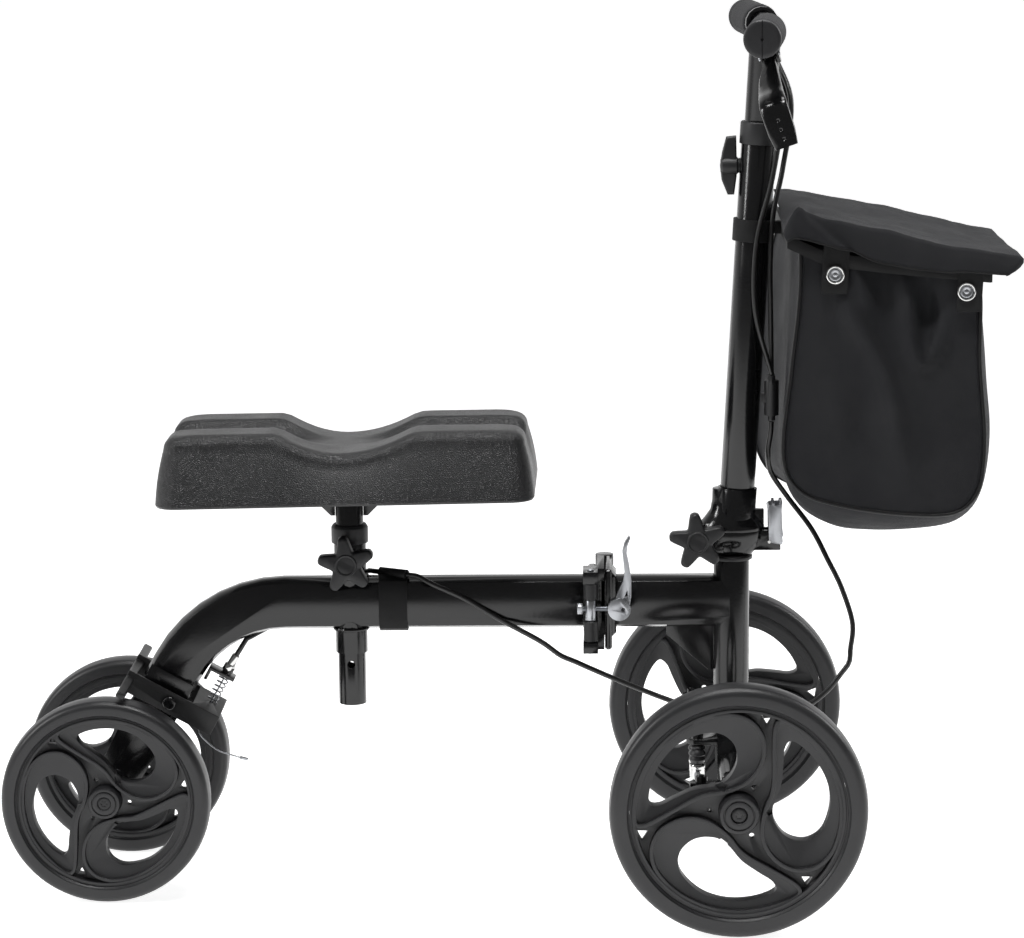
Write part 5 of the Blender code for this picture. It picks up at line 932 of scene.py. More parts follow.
def build_fold_latch():
    """The pressed latch: two cheeks with notched upper edges, a back plate and a bright lip below."""
    body = body_holding("fold_latch")
    box = node_box("fold_latch")
    pin_z = min(corner.z for corner in box) + 0.0050
    left, right = 0.0335, 0.0470
    for sign in (-1, 1):
        loop = [(left + 0.0010, 0.3168), (right - 0.0004, 0.3150), (right, 0.3180), (right - 0.0010, 0.3300)]
        loop += [(right - 0.0016, 0.3480), (right - 0.0016, 0.3546), (right - 0.0030, 0.3546), (right - 0.0032, 0.3522)]
        loop += [(left + 0.0062, 0.3520), (left + 0.0060, 0.3544), (left + 0.0036, 0.3546), (left + 0.0034, 0.3520)]
        loop += [(left + 0.0010, 0.3518), (left + 0.0002, 0.3480), (left + 0.0004, 0.3300)]
        place = facing("-Y", at(0, sign * 0.0107, 0))
        cheek = prism(loop, 0.0009, "latch_cheek", place)
        finished(softened(cheek, 0.0003), body, "zinc_plate", *(["fold_latch"] if sign < 0 else []))
    lip = [at(0.0345, y, 0.3176) for y in (-0.0122, 0.0122)]
    lip_piece = tube([lip[0], lip[0].lerp(lip[1], 0.5), lip[1]], 0.0014, "latch_rivet", 14)
    finished(softened(lip_piece, 0), body, "chrome")
    work = bmesh.new()
    rows = []
    back = ((0.0458, 0.3222), (0.0468, 0.3236), (0.0464, 0.3260), (0.0458, 0.3300), (0.0452, 0.3480), (0.0458, 0.3548))
    for x, z in back:
        rows.append([work.verts.new(at(x, y, z)) for y in (-0.0112, -0.0040, 0.0040, 0.0112)])
    for first, second in zip(rows, rows[1:]):
        for k in range(3):
            work.faces.new((first[k], first[k + 1], second[k + 1], second[k]))
    plate = mesh_piece("latch_plate", work)
    thick = plate.modifiers.new("sheet", "SOLIDIFY")
    thick.thickness = 0.0016
    thick.offset = 0
    finished(softened(plate, 0.0003), body, "zinc_plate")
    bar = tube([at(0.0345, y, 0.3492) for y in (-0.0112, 0, 0.0112)], 0.0019, "latch_bar", 16)
    finished(softened(bar, 0), body, "zinc_plate")
    pivot = tube([at(0.0400, y, pin_z) for y in (-0.0114, 0, 0.0114)], 0.0022, "latch_hub", 16)
    finished(softened(pivot, 0), body, "zinc_plate")


# Steering linkage
def build_tie_rod(side):
    """A tie rod with a rubber boot and a crimped socket on the ball joint at each end."""
    sign = 1 if side == "left" else -1
    node = f"{side}_tie_rod"
    body = body_holding(node)
    level = 0.098
    inner, outer = at(-0.0320, sign * 0.0100, level), at(-0.0320, sign * 0.1600, level)
    rod_piece = tube([inner.lerp(outer, k / 12) for k in range(13)], 0.0031, f"{node}_rod", 20)
    finished(softened(rod_piece, 0), body, "zinc_plate", node)
    for end in (inner, outer):
        place = Matrix.Translation((end.x, end.y, level))
        boot = [(0.0034, 0.0262), (0.0054, 0.0262), (0.0060, 0.0255), (0.0060, 0.0238), (0.0050, 0.0230)]
        boot += [(0.0060, 0.0220), (0.0078, 0.0196), (0.0080, 0.0180), (0.0068, 0.0166), (0.0074, 0.0150)]
        boot += [(0.0078, 0.0132), (0.0066, 0.0112), (0.0060, 0.0092), (0.0034, 0.0092)]
        finished(softened(lathe(boot, "joint_boot", place, 36, closed=True), 0), body, "tyre_rubber")
        socket = [(0.0034, 0.0088), (0.0068, 0.0088), (0.0074, 0.0078), (0.0074, 0.0052), (0.0068, 0.0044)]
        socket += [(0.0070, 0.0020), (0.0070, -0.0030), (0.0060, -0.0052), (0.0036, -0.0060), (0.0, -0.0060)]
        finished(softened(lathe(socket, "joint_socket", place, 36, closed=False), 0), body, "chrome")


# Cables
CABLE_R = 0.0024


RIGHT_LEVER_CABLE = (
    (0.0349, -0.0443, 0.7600),
    (0.0360, -0.0348, 0.7591),
    (0.0440, -0.0260, 0.7150),
    (0.0360, -0.0240, 0.6550),
    (0.0220, -0.0215, 0.5960),
    (0.0210, -0.0215, 0.5330),
    (0.0362, -0.0140, 0.4745),
)
LEFT_LEVER_CABLE = (
    (0.0392, 0.0446, 0.7609),
    (0.0405, 0.0352, 0.7600),
    (0.0540, 0.0060, 0.7200),
    (0.0460, -0.0080, 0.6620),
    (0.0370, -0.0140, 0.6200),
    (0.0345, -0.0150, 0.5740),
    (0.0350, -0.0140, 0.5370),
    (0.0362, -0.0060, 0.4745),
)
CABLE_TO_FORK = (
    (0.0362, -0.0100, 0.4298),
    (0.0358, -0.0095, 0.4200),
    (0.0335, -0.0030, 0.4000),
    (0.0370, 0.0180, 0.3780),
    (0.0520, 0.0260, 0.3540),
    (0.0750, 0.0180, 0.3240),
    (0.0900, 0.0080, 0.2960),
    (0.1020, 0.0000, 0.2720),
    (0.1120, -0.0080, 0.2400),
    (0.1100, -0.0120, 0.2160),
)
CABLE_TO_FRAME = (
    (0.1100, -0.0120, 0.2160),
    (0.1088, -0.0138, 0.2040),
    (0.1020, -0.0140, 0.1940),
    (0.0880, -0.0160, 0.1770),
    (0.0700, -0.0180, 0.1640),
    (0.0450, -0.0210, 0.1570),
)
CABLE_UNDER_FRAME = (
    (0.0450, -0.0210, 0.1570),
    (0.0300, -0.0230, 0.1555),
    (0.0150, -0.0245, 0.1550),
    (-0.0200, -0.0220, 0.1580),
    (-0.0560, -0.0140, 0.1680),
    (-0.0970, -0.0120, 0.1840),
)
CABLE_TO_BRAKE = (
    (-0.0970, -0.0120, 0.1840),
    (-0.1310, -0.0120, 0.1990),
    (-0.1450, -0.0140, 0.2060),
    (-0.1590, -0.0170, 0.2130),
    (-0.1770, -0.0200, 0.2270),
    (-0.2140, -0.0207, 0.2480),
    (-0.2470, -0.0207, 0.2680),
    (-0.2750, -0.0205, 0.2810),
    (-0.2880, -0.0158, 0.2872),
    (-0.2950, -0.0120, 0.2880),
    (-0.3300, 0.0070, 0.2880),
    (-0.3380, 0.0140, 0.2865),
    (-0.3520, 0.0206, 0.2760),
    (-0.3750, 0.0206, 0.2620),
    (-0.4000, 0.0206, 0.2490),
    (-0.4220, 0.0180, 0.2380),
    (-0.4504, 0.0000, 0.2257),
    (-0.4598, 0.0000, 0.2108),
)
LEVER_CABLES = (("right_lever_cable", RIGHT_LEVER_CABLE), ("left_lever_cable", LEFT_LEVER_CABLE))
BRAKE_CABLE = (
    ("brake_cable_at_column", CABLE_TO_FORK, "column", "fork"),
    ("brake_cable_at_fork", CABLE_TO_FRAME, "fork", "front_frame"),
    ("brake_cable_under_frame", CABLE_UNDER_FRAME, "front_frame", "rear_frame"),
    ("brake_cable_at_rear", CABLE_TO_BRAKE, "rear_frame", None),
)


def build_sheath(node, route, far):
    """One stretch of a cable's outer sheath; where it crosses a joint it rides on no body and stays where it is."""
    sheath = softened(tube(route, CABLE_R, f"{node}_sheath", 14), 0)
    finished(sheath, None if far else body_holding(node), "cable_sheath", node)
    if far:
        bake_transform(sheath)


def build_cables():
    """The Bowden cables: two from the levers to the junction, and one on to the rear brake in four stretches."""
    for node, points in LEVER_CABLES:
        route = [at(*points[0]), *[at(*point) for point in curve_through(points[1:], 56)]]
        build_sheath(node, route, "column")
    whole = [point for _, points, _, _ in BRAKE_CABLE for point in points[:-1]] + [CABLE_TO_BRAKE[-1]]
    route = [at(*point) for point in curve_through(whole[1:-1], 190)]
    route = [at(*whole[0]), *route, at(*whole[-1])]
    begin = 0
    for node, points, near, far in BRAKE_CABLE:
        last = at(*points[-1])
        finish = min(range(len(route)), key=lambda k: (route[k] - last).length)
        build_sheath(node, route[begin : finish + 1], far)
        begin = finish


# Knee pad
PAD_MIDDLE = -0.3510
PAD_HALF_LENGTH = 0.1712
PAD_HALF_WIDTH = 0.087
PAD_BASE = 0.3668
PAD_TOP = 0.4300
SCOOP_X = -0.3550
SCOOP_DEPTH = 0.0190


def smooth_step(low, high, value):
    t = min(1.0, max(0.0, (value - low) / (high - low)))
    return t * t * (3 - 2 * t)


def pad_level(x, y):
    """Height of the pad's top: two broad ridges with a shallow channel between them and a scoop halfway."""
    reach = 0.0570 if x < SCOOP_X else 0.0655
    dip = SCOOP_DEPTH * (1 - ((x - SCOOP_X) / reach) ** 2)
    soft = 0.0045
    blend = max(soft - abs(dip), 0) / soft
    dip = max(dip, 0) + blend * blend * soft / 4
    channel = 0.0140 * (1 - smooth_step(0.007, 0.026, abs(y))) * max(0.0, 1 - dip / SCOOP_DEPTH)
    ends = smooth_step(PAD_HALF_LENGTH - 0.040, PAD_HALF_LENGTH - 0.006, abs(x - PAD_MIDDLE))
    slope = 0.011 * (x - PAD_MIDDLE)
    return PAD_TOP + slope - dip - channel * (1 - 0.35 * ends) - 0.0015 * ends


def pad_ring(rear, front, side, corner, count):
    """A rounded rectangle whose rear, front and sides stand at their own distances from the pad's middle."""
    loop = []
    corners = ((front, side, 0), (-rear, side, 90), (-rear, -side, 180), (front, -side, 270))
    per = count // 4
    for number, (x, y, start) in enumerate(corners):
        inner = Vector((x - math.copysign(corner, x), y - math.copysign(corner, y)))
        arc = per // 3
        for k in range(arc):
            turn = math.radians(start + 90 * k / (arc - 1))
            loop.append(inner + Vector((math.cos(turn), math.sin(turn))) * corner)
        after = corners[(number + 1) % 4]
        turn = math.radians(start + 90)
        edge = Vector((after[0] - math.copysign(corner, after[0]), after[1] - math.copysign(corner, after[1])))
        edge += Vector((math.cos(turn), math.sin(turn))) * corner
        last = loop[-1]
        for k in range(1, per - arc + 1):
            loop.append(last.lerp(edge, k / (per - arc + 1)))
    return [Vector((PAD_MIDDLE + point.x, point.y)) for point in loop]


def build_pad():
    """The moulded knee pad: flaring sides, a rounded shoulder and the sculpted top, as one closed skin."""
    count = 4 * 54
    shoulder = 0.0125
    levels = [(0.0, 0.0110, "base", 0.0034), (0.0, 0.0070, "base", 0.0030), (0.0, 0.0050, "base", 0.0)]
    levels += [(0.0, 0.0012, "base", 0.0006), (0.0, 0.0, "base", 0.0026)]
    for step in range(1, 9):
        levels.append((step / 8, 0.0, "side", step / 8))
    for step in range(1, 8):
        turn = math.radians(90 * step / 7)
        levels.append((1.0, shoulder * (1 - math.cos(turn)), "shoulder", math.sin(turn)))
    inner = PAD_HALF_WIDTH - 0.0190 - shoulder
    for step in range(1, 17):
        levels.append((1.0, shoulder + (inner - 0.0006) * step / 16, "top", 1.0))
    work = bmesh.new()
    rings = []
    for lean, inset, part, share in levels:
        rear = PAD_HALF_LENGTH - 0.0070 * lean - inset
        front = PAD_HALF_LENGTH - 0.0085 * lean - inset
        side = PAD_HALF_WIDTH - 0.0190 * lean - inset
        corner = max(0.0205 - 0.0050 * lean - 0.6 * inset, 0.20 * side, 0.0002)
        ring = []
        for point in pad_ring(rear, front, side, min(corner, side * 0.999), count):
            top = pad_level(point.x, point.y)
            base = PAD_BASE + 0.016 * (point.x - PAD_MIDDLE)
            low = base + 0.0030
            if part == "base":
                height = base + share
            elif part == "side":
                height = low + (top - shoulder * 0.92 - low) * share
            else:
                height = top - shoulder * 0.92 * (1 - share)
            bow = 0.0014 * math.sin(math.pi * share) if part == "side" else 0.0
            outward = Vector((point.x - PAD_MIDDLE, point.y)).normalized() * bow
            ring.append(work.verts.new(at(point.x + outward.x, point.y + outward.y, height)))
        rings.append(ring)
    for first, second in zip(rings, rings[1:]):
        for k in range(count):
            j = (k + 1) % count
            work.faces.new((first[k], first[j], second[j], second[k]))
    work.faces.new(rings[0])
    last = rings[-1]
    bmesh.ops.contextual_create(work, geom=list({e for v in last for e in v.link_edges if e.other_vert(v) in last}))
    top = [face for face in work.faces if len(face.verts) > 4 and face.calc_center_median().z > 0.39]
    bmesh.ops.triangulate(work, faces=top)
    pad = softened(mesh_piece("knee_pad_finished", work), 0)
    pad.data.shade_smooth()
    finished(pad, body_holding("knee_pad"), "pad_skin", "knee_pad")


# Bag
BAG_HALF = 0.117
BAG_SIDE = (
    (0.0560, 0.6060),
    (0.0565, 0.5750),
    (0.0545, 0.5435),
    (0.0510, 0.5137),
    (0.0474, 0.4816),
    (0.0439, 0.4537),
    (0.0418, 0.4322),
    (0.0425, 0.4106),
    (0.0494, 0.3933),
    (0.0654, 0.3800),
    (0.0932, 0.3718),
    (0.1230, 0.3665),
    (0.1529, 0.3635),
    (0.1806, 0.3628),
    (0.1965, 0.3655),
    (0.2085, 0.3740),
    (0.2165, 0.3881),
    (0.2196, 0.4097),
    (0.2201, 0.4377),
    (0.2175, 0.4700),
    (0.2150, 0.5021),
    (0.2150, 0.5298),
    (0.2150, 0.5553),
    (0.2130, 0.5780),
)
BAG_MIDDLE = (
    (0.0540, 0.6060),
    (0.0530, 0.5750),
    (0.0520, 0.5435),
    (0.0505, 0.5137),
    (0.0490, 0.4816),
    (0.0475, 0.4537),
    (0.0465, 0.4300),
    (0.0460, 0.4000),
    (0.0500, 0.3740),
    (0.0650, 0.3520),
    (0.0930, 0.3370),
    (0.1230, 0.3340),
    (0.1529, 0.3345),
    (0.1806, 0.3375),
    (0.2010, 0.3440),
    (0.2170, 0.3580),
    (0.2260, 0.3780),
    (0.2310, 0.4050),
    (0.2325, 0.4377),
    (0.2300, 0.4700),
    (0.2270, 0.5021),
    (0.2230, 0.5298),
    (0.2190, 0.5553),
    (0.2150, 0.5780),
)
BAG_FAR_SHIFT = (
    (-0.0050, 0.0),
    (-0.0140, 0.0),
    (-0.0200, 0.0),
    (-0.0185, 0.0),
    (-0.0170, 0.0),
    (-0.0155, 0.0),
    (-0.0135, -0.0010),
    (-0.0145, -0.0060),
    (-0.0190, -0.0160),
    (-0.0180, -0.0250),
    (-0.0100, -0.0300),
    (-0.0040, -0.0270),
    (0.0, -0.0220),
    (0.0, -0.0170),
    (0.0, -0.0120),
    (0.0, -0.0070),
    (0.0, -0.0030),
)
LONG_FOLD = ((0.096, 0.562), (0.103, 0.539), (0.118, 0.515), (0.130, 0.492), (0.139, 0.460), (0.144, 0.427))
LONG_FOLD += ((0.152, 0.395),)
SHORT_FOLD = ((0.101, 0.590), (0.109, 0.568), (0.122, 0.543))
DENT_RIM = ((0.149, 0.573), (0.154, 0.543), (0.155, 0.513), (0.161, 0.499), (0.172, 0.502), (0.181, 0.524))
DENT_RIM += ((0.189, 0.551),)


def near_line(x, z, line, width):
    """How close a place is to a broken line: 1 on it, fading with distance and towards both its ends."""
    best, share = 1e9, 0.0
    for number, ((x0, z0), (x1, z1)) in enumerate(zip(line, line[1:])):
        along = Vector((x1 - x0, z1 - z0))
        t = min(1.0, max(0.0, Vector((x - x0, z - z0)).dot(along) / along.length_squared))
        far = (Vector((x, z)) - Vector((x0, z0)) - along * t).length
        if far < best:
            best, share = far, (number + t) / (len(line) - 1)
    return math.exp(-((best / width) ** 2)) * min(1.0, 5 * share + 0.35) * min(1.0, 4 * (1 - share) + 0.1)


def panel_relief(x, z):
    """How far the side panel of the bag stands out at a place: soft folds, a pushed-in pocket and a slack hem."""
    out = 0.0085 * near_line(x, z, LONG_FOLD, 0.0095) + 0.0055 * near_line(x, z, SHORT_FOLD, 0.0062)
    out += 0.0065 * near_line(x, z, DENT_RIM, 0.0062)
    out -= 0.0120 * math.exp(-(((x - 0.168) / 0.0125) ** 2) - ((z - 0.548) / 0.030) ** 2)
    out -= 0.0070 * math.exp(-(((x - 0.130) / 0.012) ** 2) - ((z - 0.560) / 0.030) ** 2)
    out -= 0.0090 * math.exp(-(((x - 0.146) / 0.034) ** 2) - ((z - 0.594) / 0.020) ** 2)
    out -= 0.0045 * math.exp(-(((x - 0.114) / 0.015) ** 2) - ((z - 0.450) / 0.040) ** 2)
    out += 0.0026 * math.sin(math.pi * smooth_step(0.360, 0.560, z)) * math.sin(math.pi * smooth_step(0.045, 0.220, x))
    out += 0.0010 * noise.noise((x * 34, z * 22, 3.7)) + 0.0004 * noise.noise((x * 90, z * 70, 1.2))
    return out


def mapped(item, places):
    """Gives a piece a UV map in metres from a place for each vertex."""
    layer = item.data.uv_layers.new(name="cloth")
    for loop in item.data.loops:
        layer.data[loop.index].uv = places(item.data.vertices[loop.vertex_index].co)


def cloth_places(co):
    """Cloth coordinates of a hanging panel: its sides by length and height, what faces forward by width and height."""
    return (co.x + 0.7 * co.y, co.z - 0.2 * co.x)


def build_bag():
    """The sewn bag: a long panel round back, bottom and front, and two side panels that fold and sag."""
    count = 96
    side = curve_through([(x, 0, z) for x, z in BAG_SIDE], count)
    middle = curve_through([(x, 0, z) for x, z in BAG_MIDDLE], count)
    shifts = list(BAG_FAR_SHIFT) + [(0.0, 0.0)] * (len(BAG_SIDE) - len(BAG_FAR_SHIFT))
    far = curve_through([(x + dx, 0, z + dz) for (x, z), (dx, dz) in zip(BAG_SIDE, shifts)], count)
    work = bmesh.new()
    left_half = [0.16, 0.32, 0.48, 0.64, 0.78, 0.88, 0.95, 0.985, 1]
    shares = [-share for share in reversed(left_half)] + [0] + left_half
    rows = []
    for share in shares:
        row = []
        swell = (1 - abs(share) ** 2.6) ** 0.8
        for number, (outer, inner, beyond) in enumerate(zip(side, middle, far)):
            spot = outer.lerp(beyond, smooth_step(0.1, 0.9, share)).lerp(inner, swell)
            along = number / (count - 1)
            wave = 0.0016 * swell * noise.noise((share * 3.1, along * 9.0, 5.1))
            row.append(work.verts.new(at(spot.x - wave, share * BAG_HALF, spot.z + wave)))
        rows.append(row)
    for first, second in zip(rows, rows[1:]):
        for k in range(count - 1):
            work.faces.new((first[k], first[k + 1], second[k + 1], second[k]))
    columns = 34
    for edge, sign in ((rows[0], -1), (rows[-1], 1)):
        half = count // 2
        grid = []
        for k in range(half - 1):
            left, right = edge[k].co, edge[count - 1 - k].co
            line = [edge[k]]
            for m in range(1, columns):
                spot = left.lerp(right, m / columns)
                width = (right - left).length
                inward = min(m, columns - m) / columns * width
                fade = smooth_step(0.0, 0.022, inward) * smooth_step(0, 5, half - 1 - k)
                forward = spot.x - FRONT_X
                relief = panel_relief(forward if sign < 0 else 0.262 - forward, spot.z)
                spot.y += sign * relief * fade
                line.append(work.verts.new(spot))
            line.append(edge[count - 1 - k])
            grid.append(line)
        last = [edge[half - 1]] * (columns // 2 + 1) + [edge[half]] * (columns // 2)
        grid.append(last)
        for first, second in zip(grid, grid[1:]):
            for m in range(columns):
                corners = []
                for vert in (first[m], first[m + 1], second[m + 1], second[m]):
                    if vert not in corners:
                        corners.append(vert)
                if len(corners) > 2:
                    work.faces.new(corners)
    bag = mesh_piece("bag_shell_finished", work)
    wall = bag.modifiers.new("cloth", "SOLIDIFY")
    wall.thickness = 0.0014
    wall.offset = -1
    settle(bag)
    bag.data.shade_smooth()
    mapped(bag, cloth_places)
    finished(bag, "column", "bag_nylon", "bag_shell")

    for sign in (-1, 1):
        outline = [at(point.x, sign * (BAG_HALF + 0.0006), point.z) for point in (side if sign < 0 else far)]
        piping = tube(outline, 0.0016, "bag_piping", 10)
        finished(softened(piping, 0), "column", "bag_piping")
        for x0, x1, z0, z1, snap in TABS:
            build_tab(x0, x1, z0, z1, snap, sign)


TABS = ((0.0745, 0.0975, 0.5620, 0.6080, (0.0866, 0.5790)), (0.1930, 0.2150, 0.5455, 0.5860, (0.2018, 0.5635)))


def build_tab(x0, x1, low, high, snap, sign):
    """A tape tab that holds the bag to its carrier, with its chromed snap fastener."""
    work = bmesh.new()
    rows = []
    steps = 12
    for row in range(steps + 1):
        share = row / steps
        z = low + (high - low) * share
        line = []
        for k in range(7):
            x = x0 + (x1 - x0) * k / 6 + 0.0022 * share
            y = BAG_HALF + 0.0062 - 0.0016 * math.sin(math.pi * share * 0.5) + 0.0003 * noise.noise((x * 90, z * 60, 2))
            line.append(work.verts.new(at(x, sign * y, z)))
        rows.append(line)
    for first, second in zip(rows, rows[1:]):
        for k in range(6):
            work.faces.new((first[k], first[k + 1], second[k + 1], second[k]))
    tab = mesh_piece("bag_tab", work)
    thick = tab.modifiers.new("tape", "SOLIDIFY")
    thick.thickness = 0.0016
    thick.offset = 0
    softened(tab, 0.0004)
    mapped(tab, cloth_places)
    finished(tab, "column", "bag_tape")
    place = facing("-Y" if sign < 0 else "+Y", at(snap[0], sign * (BAG_HALF + 0.0068), snap[1]))
    ring = [(0.0062, 0.0002), (0.0065, 0.0015), (0.0072, 0.0020), (0.0080, 0.0015), (0.0084, 0.0)]
    ring += [(0.0084, -0.0012), (0.0060, -0.0012)]
    finished(softened(lathe(ring, "snap_ring", place, 40, closed=True), 0), "column", "chrome")
    dish = [(0.0, 0.0003), (0.0014, 0.0002), (0.0022, -0.0002), (0.0040, 0.0004), (0.0055, 0.0003), (0.0064, -0.0004)]
    dish += [(0.0064, -0.0012), (0.0, -0.0012)]
    finished(softened(lathe(dish, "snap_socket", place, 32), 0), "column", "zinc_plate")


# Lid
LID_NEAR = (
    (0.0410, 0.6150),
    (0.0480, 0.6300),
    (0.0550, 0.6385),
    (0.0630, 0.6335),
    (0.0900, 0.6250),
    (0.1290, 0.6180),
    (0.1600, 0.6100),
    (0.1920, 0.6025),
    (0.2250, 0.5975),
    (0.2470, 0.5952),
)
LID_FAR = (
    (0.0437, 0.6295),
    (0.0520, 0.6292),
    (0.0618, 0.6279),
    (0.0800, 0.6247),
    (0.1020, 0.6208),
    (0.1400, 0.6142),
    (0.1700, 0.6077),
    (0.1980, 0.6007),
    (0.2250, 0.5944),
    (0.2470, 0.5905),
)
SKIRT_NEAR = (
    (0.0440, 0.6090),
    (0.0500, 0.6118),
    (0.0600, 0.6105),
    (0.0720, 0.6080),
    (0.0920, 0.6030),
    (0.1290, 0.5890),
    (0.1600, 0.5840),
    (0.1900, 0.5812),
    (0.2180, 0.5800),
    (0.2380, 0.5800),
)
LID_HALF = 0.1225


def build_lid():
    """The lid as one sheet: its top, a skirt down both sides and a flap in front, with drape folds."""
    along, across, hang = 60, 36, 8
    near = curve_through([(x, 0, z) for x, z in LID_NEAR], along)
    far = curve_through([(x, 0, z) for x, z in LID_FAR], along)
    skirt = curve_through([(x, 0, z) for x, z in SKIRT_NEAR], along)
    front = [(0.0, 0.0), (0.0026, -0.0006), (0.0042, -0.0024), (0.0040, -0.0056), (0.0012, -0.0095), (-0.0030, -0.0130)]
    front += [(-0.0075, -0.0155)]

    def top(number, share):
        """share is 0 at the near side and 1 at the far side."""
        a, b = near[number], far[number]
        weight = (1 - share) ** 1.6
        spot = b.lerp(a, weight)
        sag = 0.0028 * math.sin(math.pi * share) * math.sin(math.pi * number / along)
        crease = 0.0014 * noise.noise((number * 0.11, share * 3.4, 0.4))
        crease += 0.0007 * noise.noise((number * 0.3, share * 9, 2.4))
        spot.z += crease - sag
        beside = spot.x - 0.0550 - 0.060 * share
        fading = (1 - smooth_step(0.05, 0.45, share)) * smooth_step(0, 0.04, share)
        spot.z -= 0.0040 * math.exp(-((beside / 0.0060) ** 2)) * fading
        spot.y = (2 * share - 1) * LID_HALF
        return spot

    def side(number, share, down):
        edge = top(number, share)
        sign = -1 if share == 0 else 1
        drop = near[number].z - skirt[number].z
        shift = skirt[number].x - near[number].x
        fold = 0.0016 * math.sin(number * 0.55 + 2.0) * math.exp(-number / 16)
        fold += 0.0008 * noise.noise((number * 0.16, down * 2, 7))
        spot = edge.copy()
        turn = min(down * 1.5, 1.0)
        behind = 0.0575 + 0.034 * down - edge.x
        fold += 0.0050 * smooth_step(-0.001, 0.007, behind) * (1 - 0.6 * smooth_step(0.014, 0.030, behind))
        spot.y = sign * (LID_HALF + 0.0022 * math.sin(turn * math.pi / 2) + (0.0016 + fold) * down)
        ridge = 0.0550 + 0.0330 * down
        fold += 0.0060 * math.exp(-(((edge.x - ridge) / 0.0050) ** 2)) * (1 - 0.5 * down)
        fold -= 0.0040 * math.exp(-(((edge.x - ridge - 0.0130) / 0.0060) ** 2)) * down
        spot.z = edge.z - drop * down
        spot.x = edge.x + shift * down
        return spot

    columns = [(0, k / hang) for k in range(hang, 0, -1)] + [(k / across, None) for k in range(across + 1)]
    columns += [(1, k / hang) for k in range(1, hang + 1)]
    work = bmesh.new()
    grid = []
    for share, down in columns:
        line = []
        for number in range(along):
            line.append(top(number, share) if down is None else side(number, share, down))
        end = line[-1].copy()
        short = 1.0 if down is None else 1 - down
        lift = 0.0 if down is None else down
        for dx, dz in front[1:]:
            spot = end + Vector((dx * (1 - 0.7 * lift), 0, dz * max(short, 0.12)))
            line.append(spot)
        grid.append([work.verts.new(at(*spot)) for spot in line])
    for first, second in zip(grid, grid[1:]):
        for k in range(len(first) - 1):
            work.faces.new((first[k], second[k], second[k + 1], first[k + 1]))
    lid = mesh_piece("bag_lid_finished", work)
    cloth = lid.modifiers.new("cloth", "SOLIDIFY")
    cloth.thickness = 0.0012
    cloth.offset = 0
    settle(lid)
    lid.data.shade_smooth()
    mapped(lid, lambda co: (co.x, co.y + 0.8 * co.z))
    finished(lid, "lid", "bag_nylon", "bag_lid")
    edge = [at(*side(number, 0, 1.0)) for number in range(along)]
    finished(softened(tube(edge, 0.0010, "lid_hem", 8), 0), "lid", "bag_tape")


# Stage
def shown_rays(tree, glossy_share=None):
    """1 for the rays that show the background: the camera's, through clear things, and in reflections its share."""
    path = tree.nodes.new("ShaderNodeLightPath")
    total = path.outputs["Is Glossy Ray"]
    if glossy_share is not None:
        share = node_of(tree, "ShaderNodeMath", (-500, 200))
        share.operation = "MULTIPLY"
        tree.links.new(total, share.inputs[0])
        tree.links.new(glossy_share, share.inputs[1])
        total = share.outputs["Value"]
    for name in ("Is Camera Ray", "Is Transmission Ray"):
        both = node_of(tree, "ShaderNodeMath", (-400, 200))
        both.operation = "MAXIMUM"
        tree.links.new(total, both.inputs[0])
        tree.links.new(path.outputs[name], both.inputs[1])
        total = both.outputs["Value"]
    return total


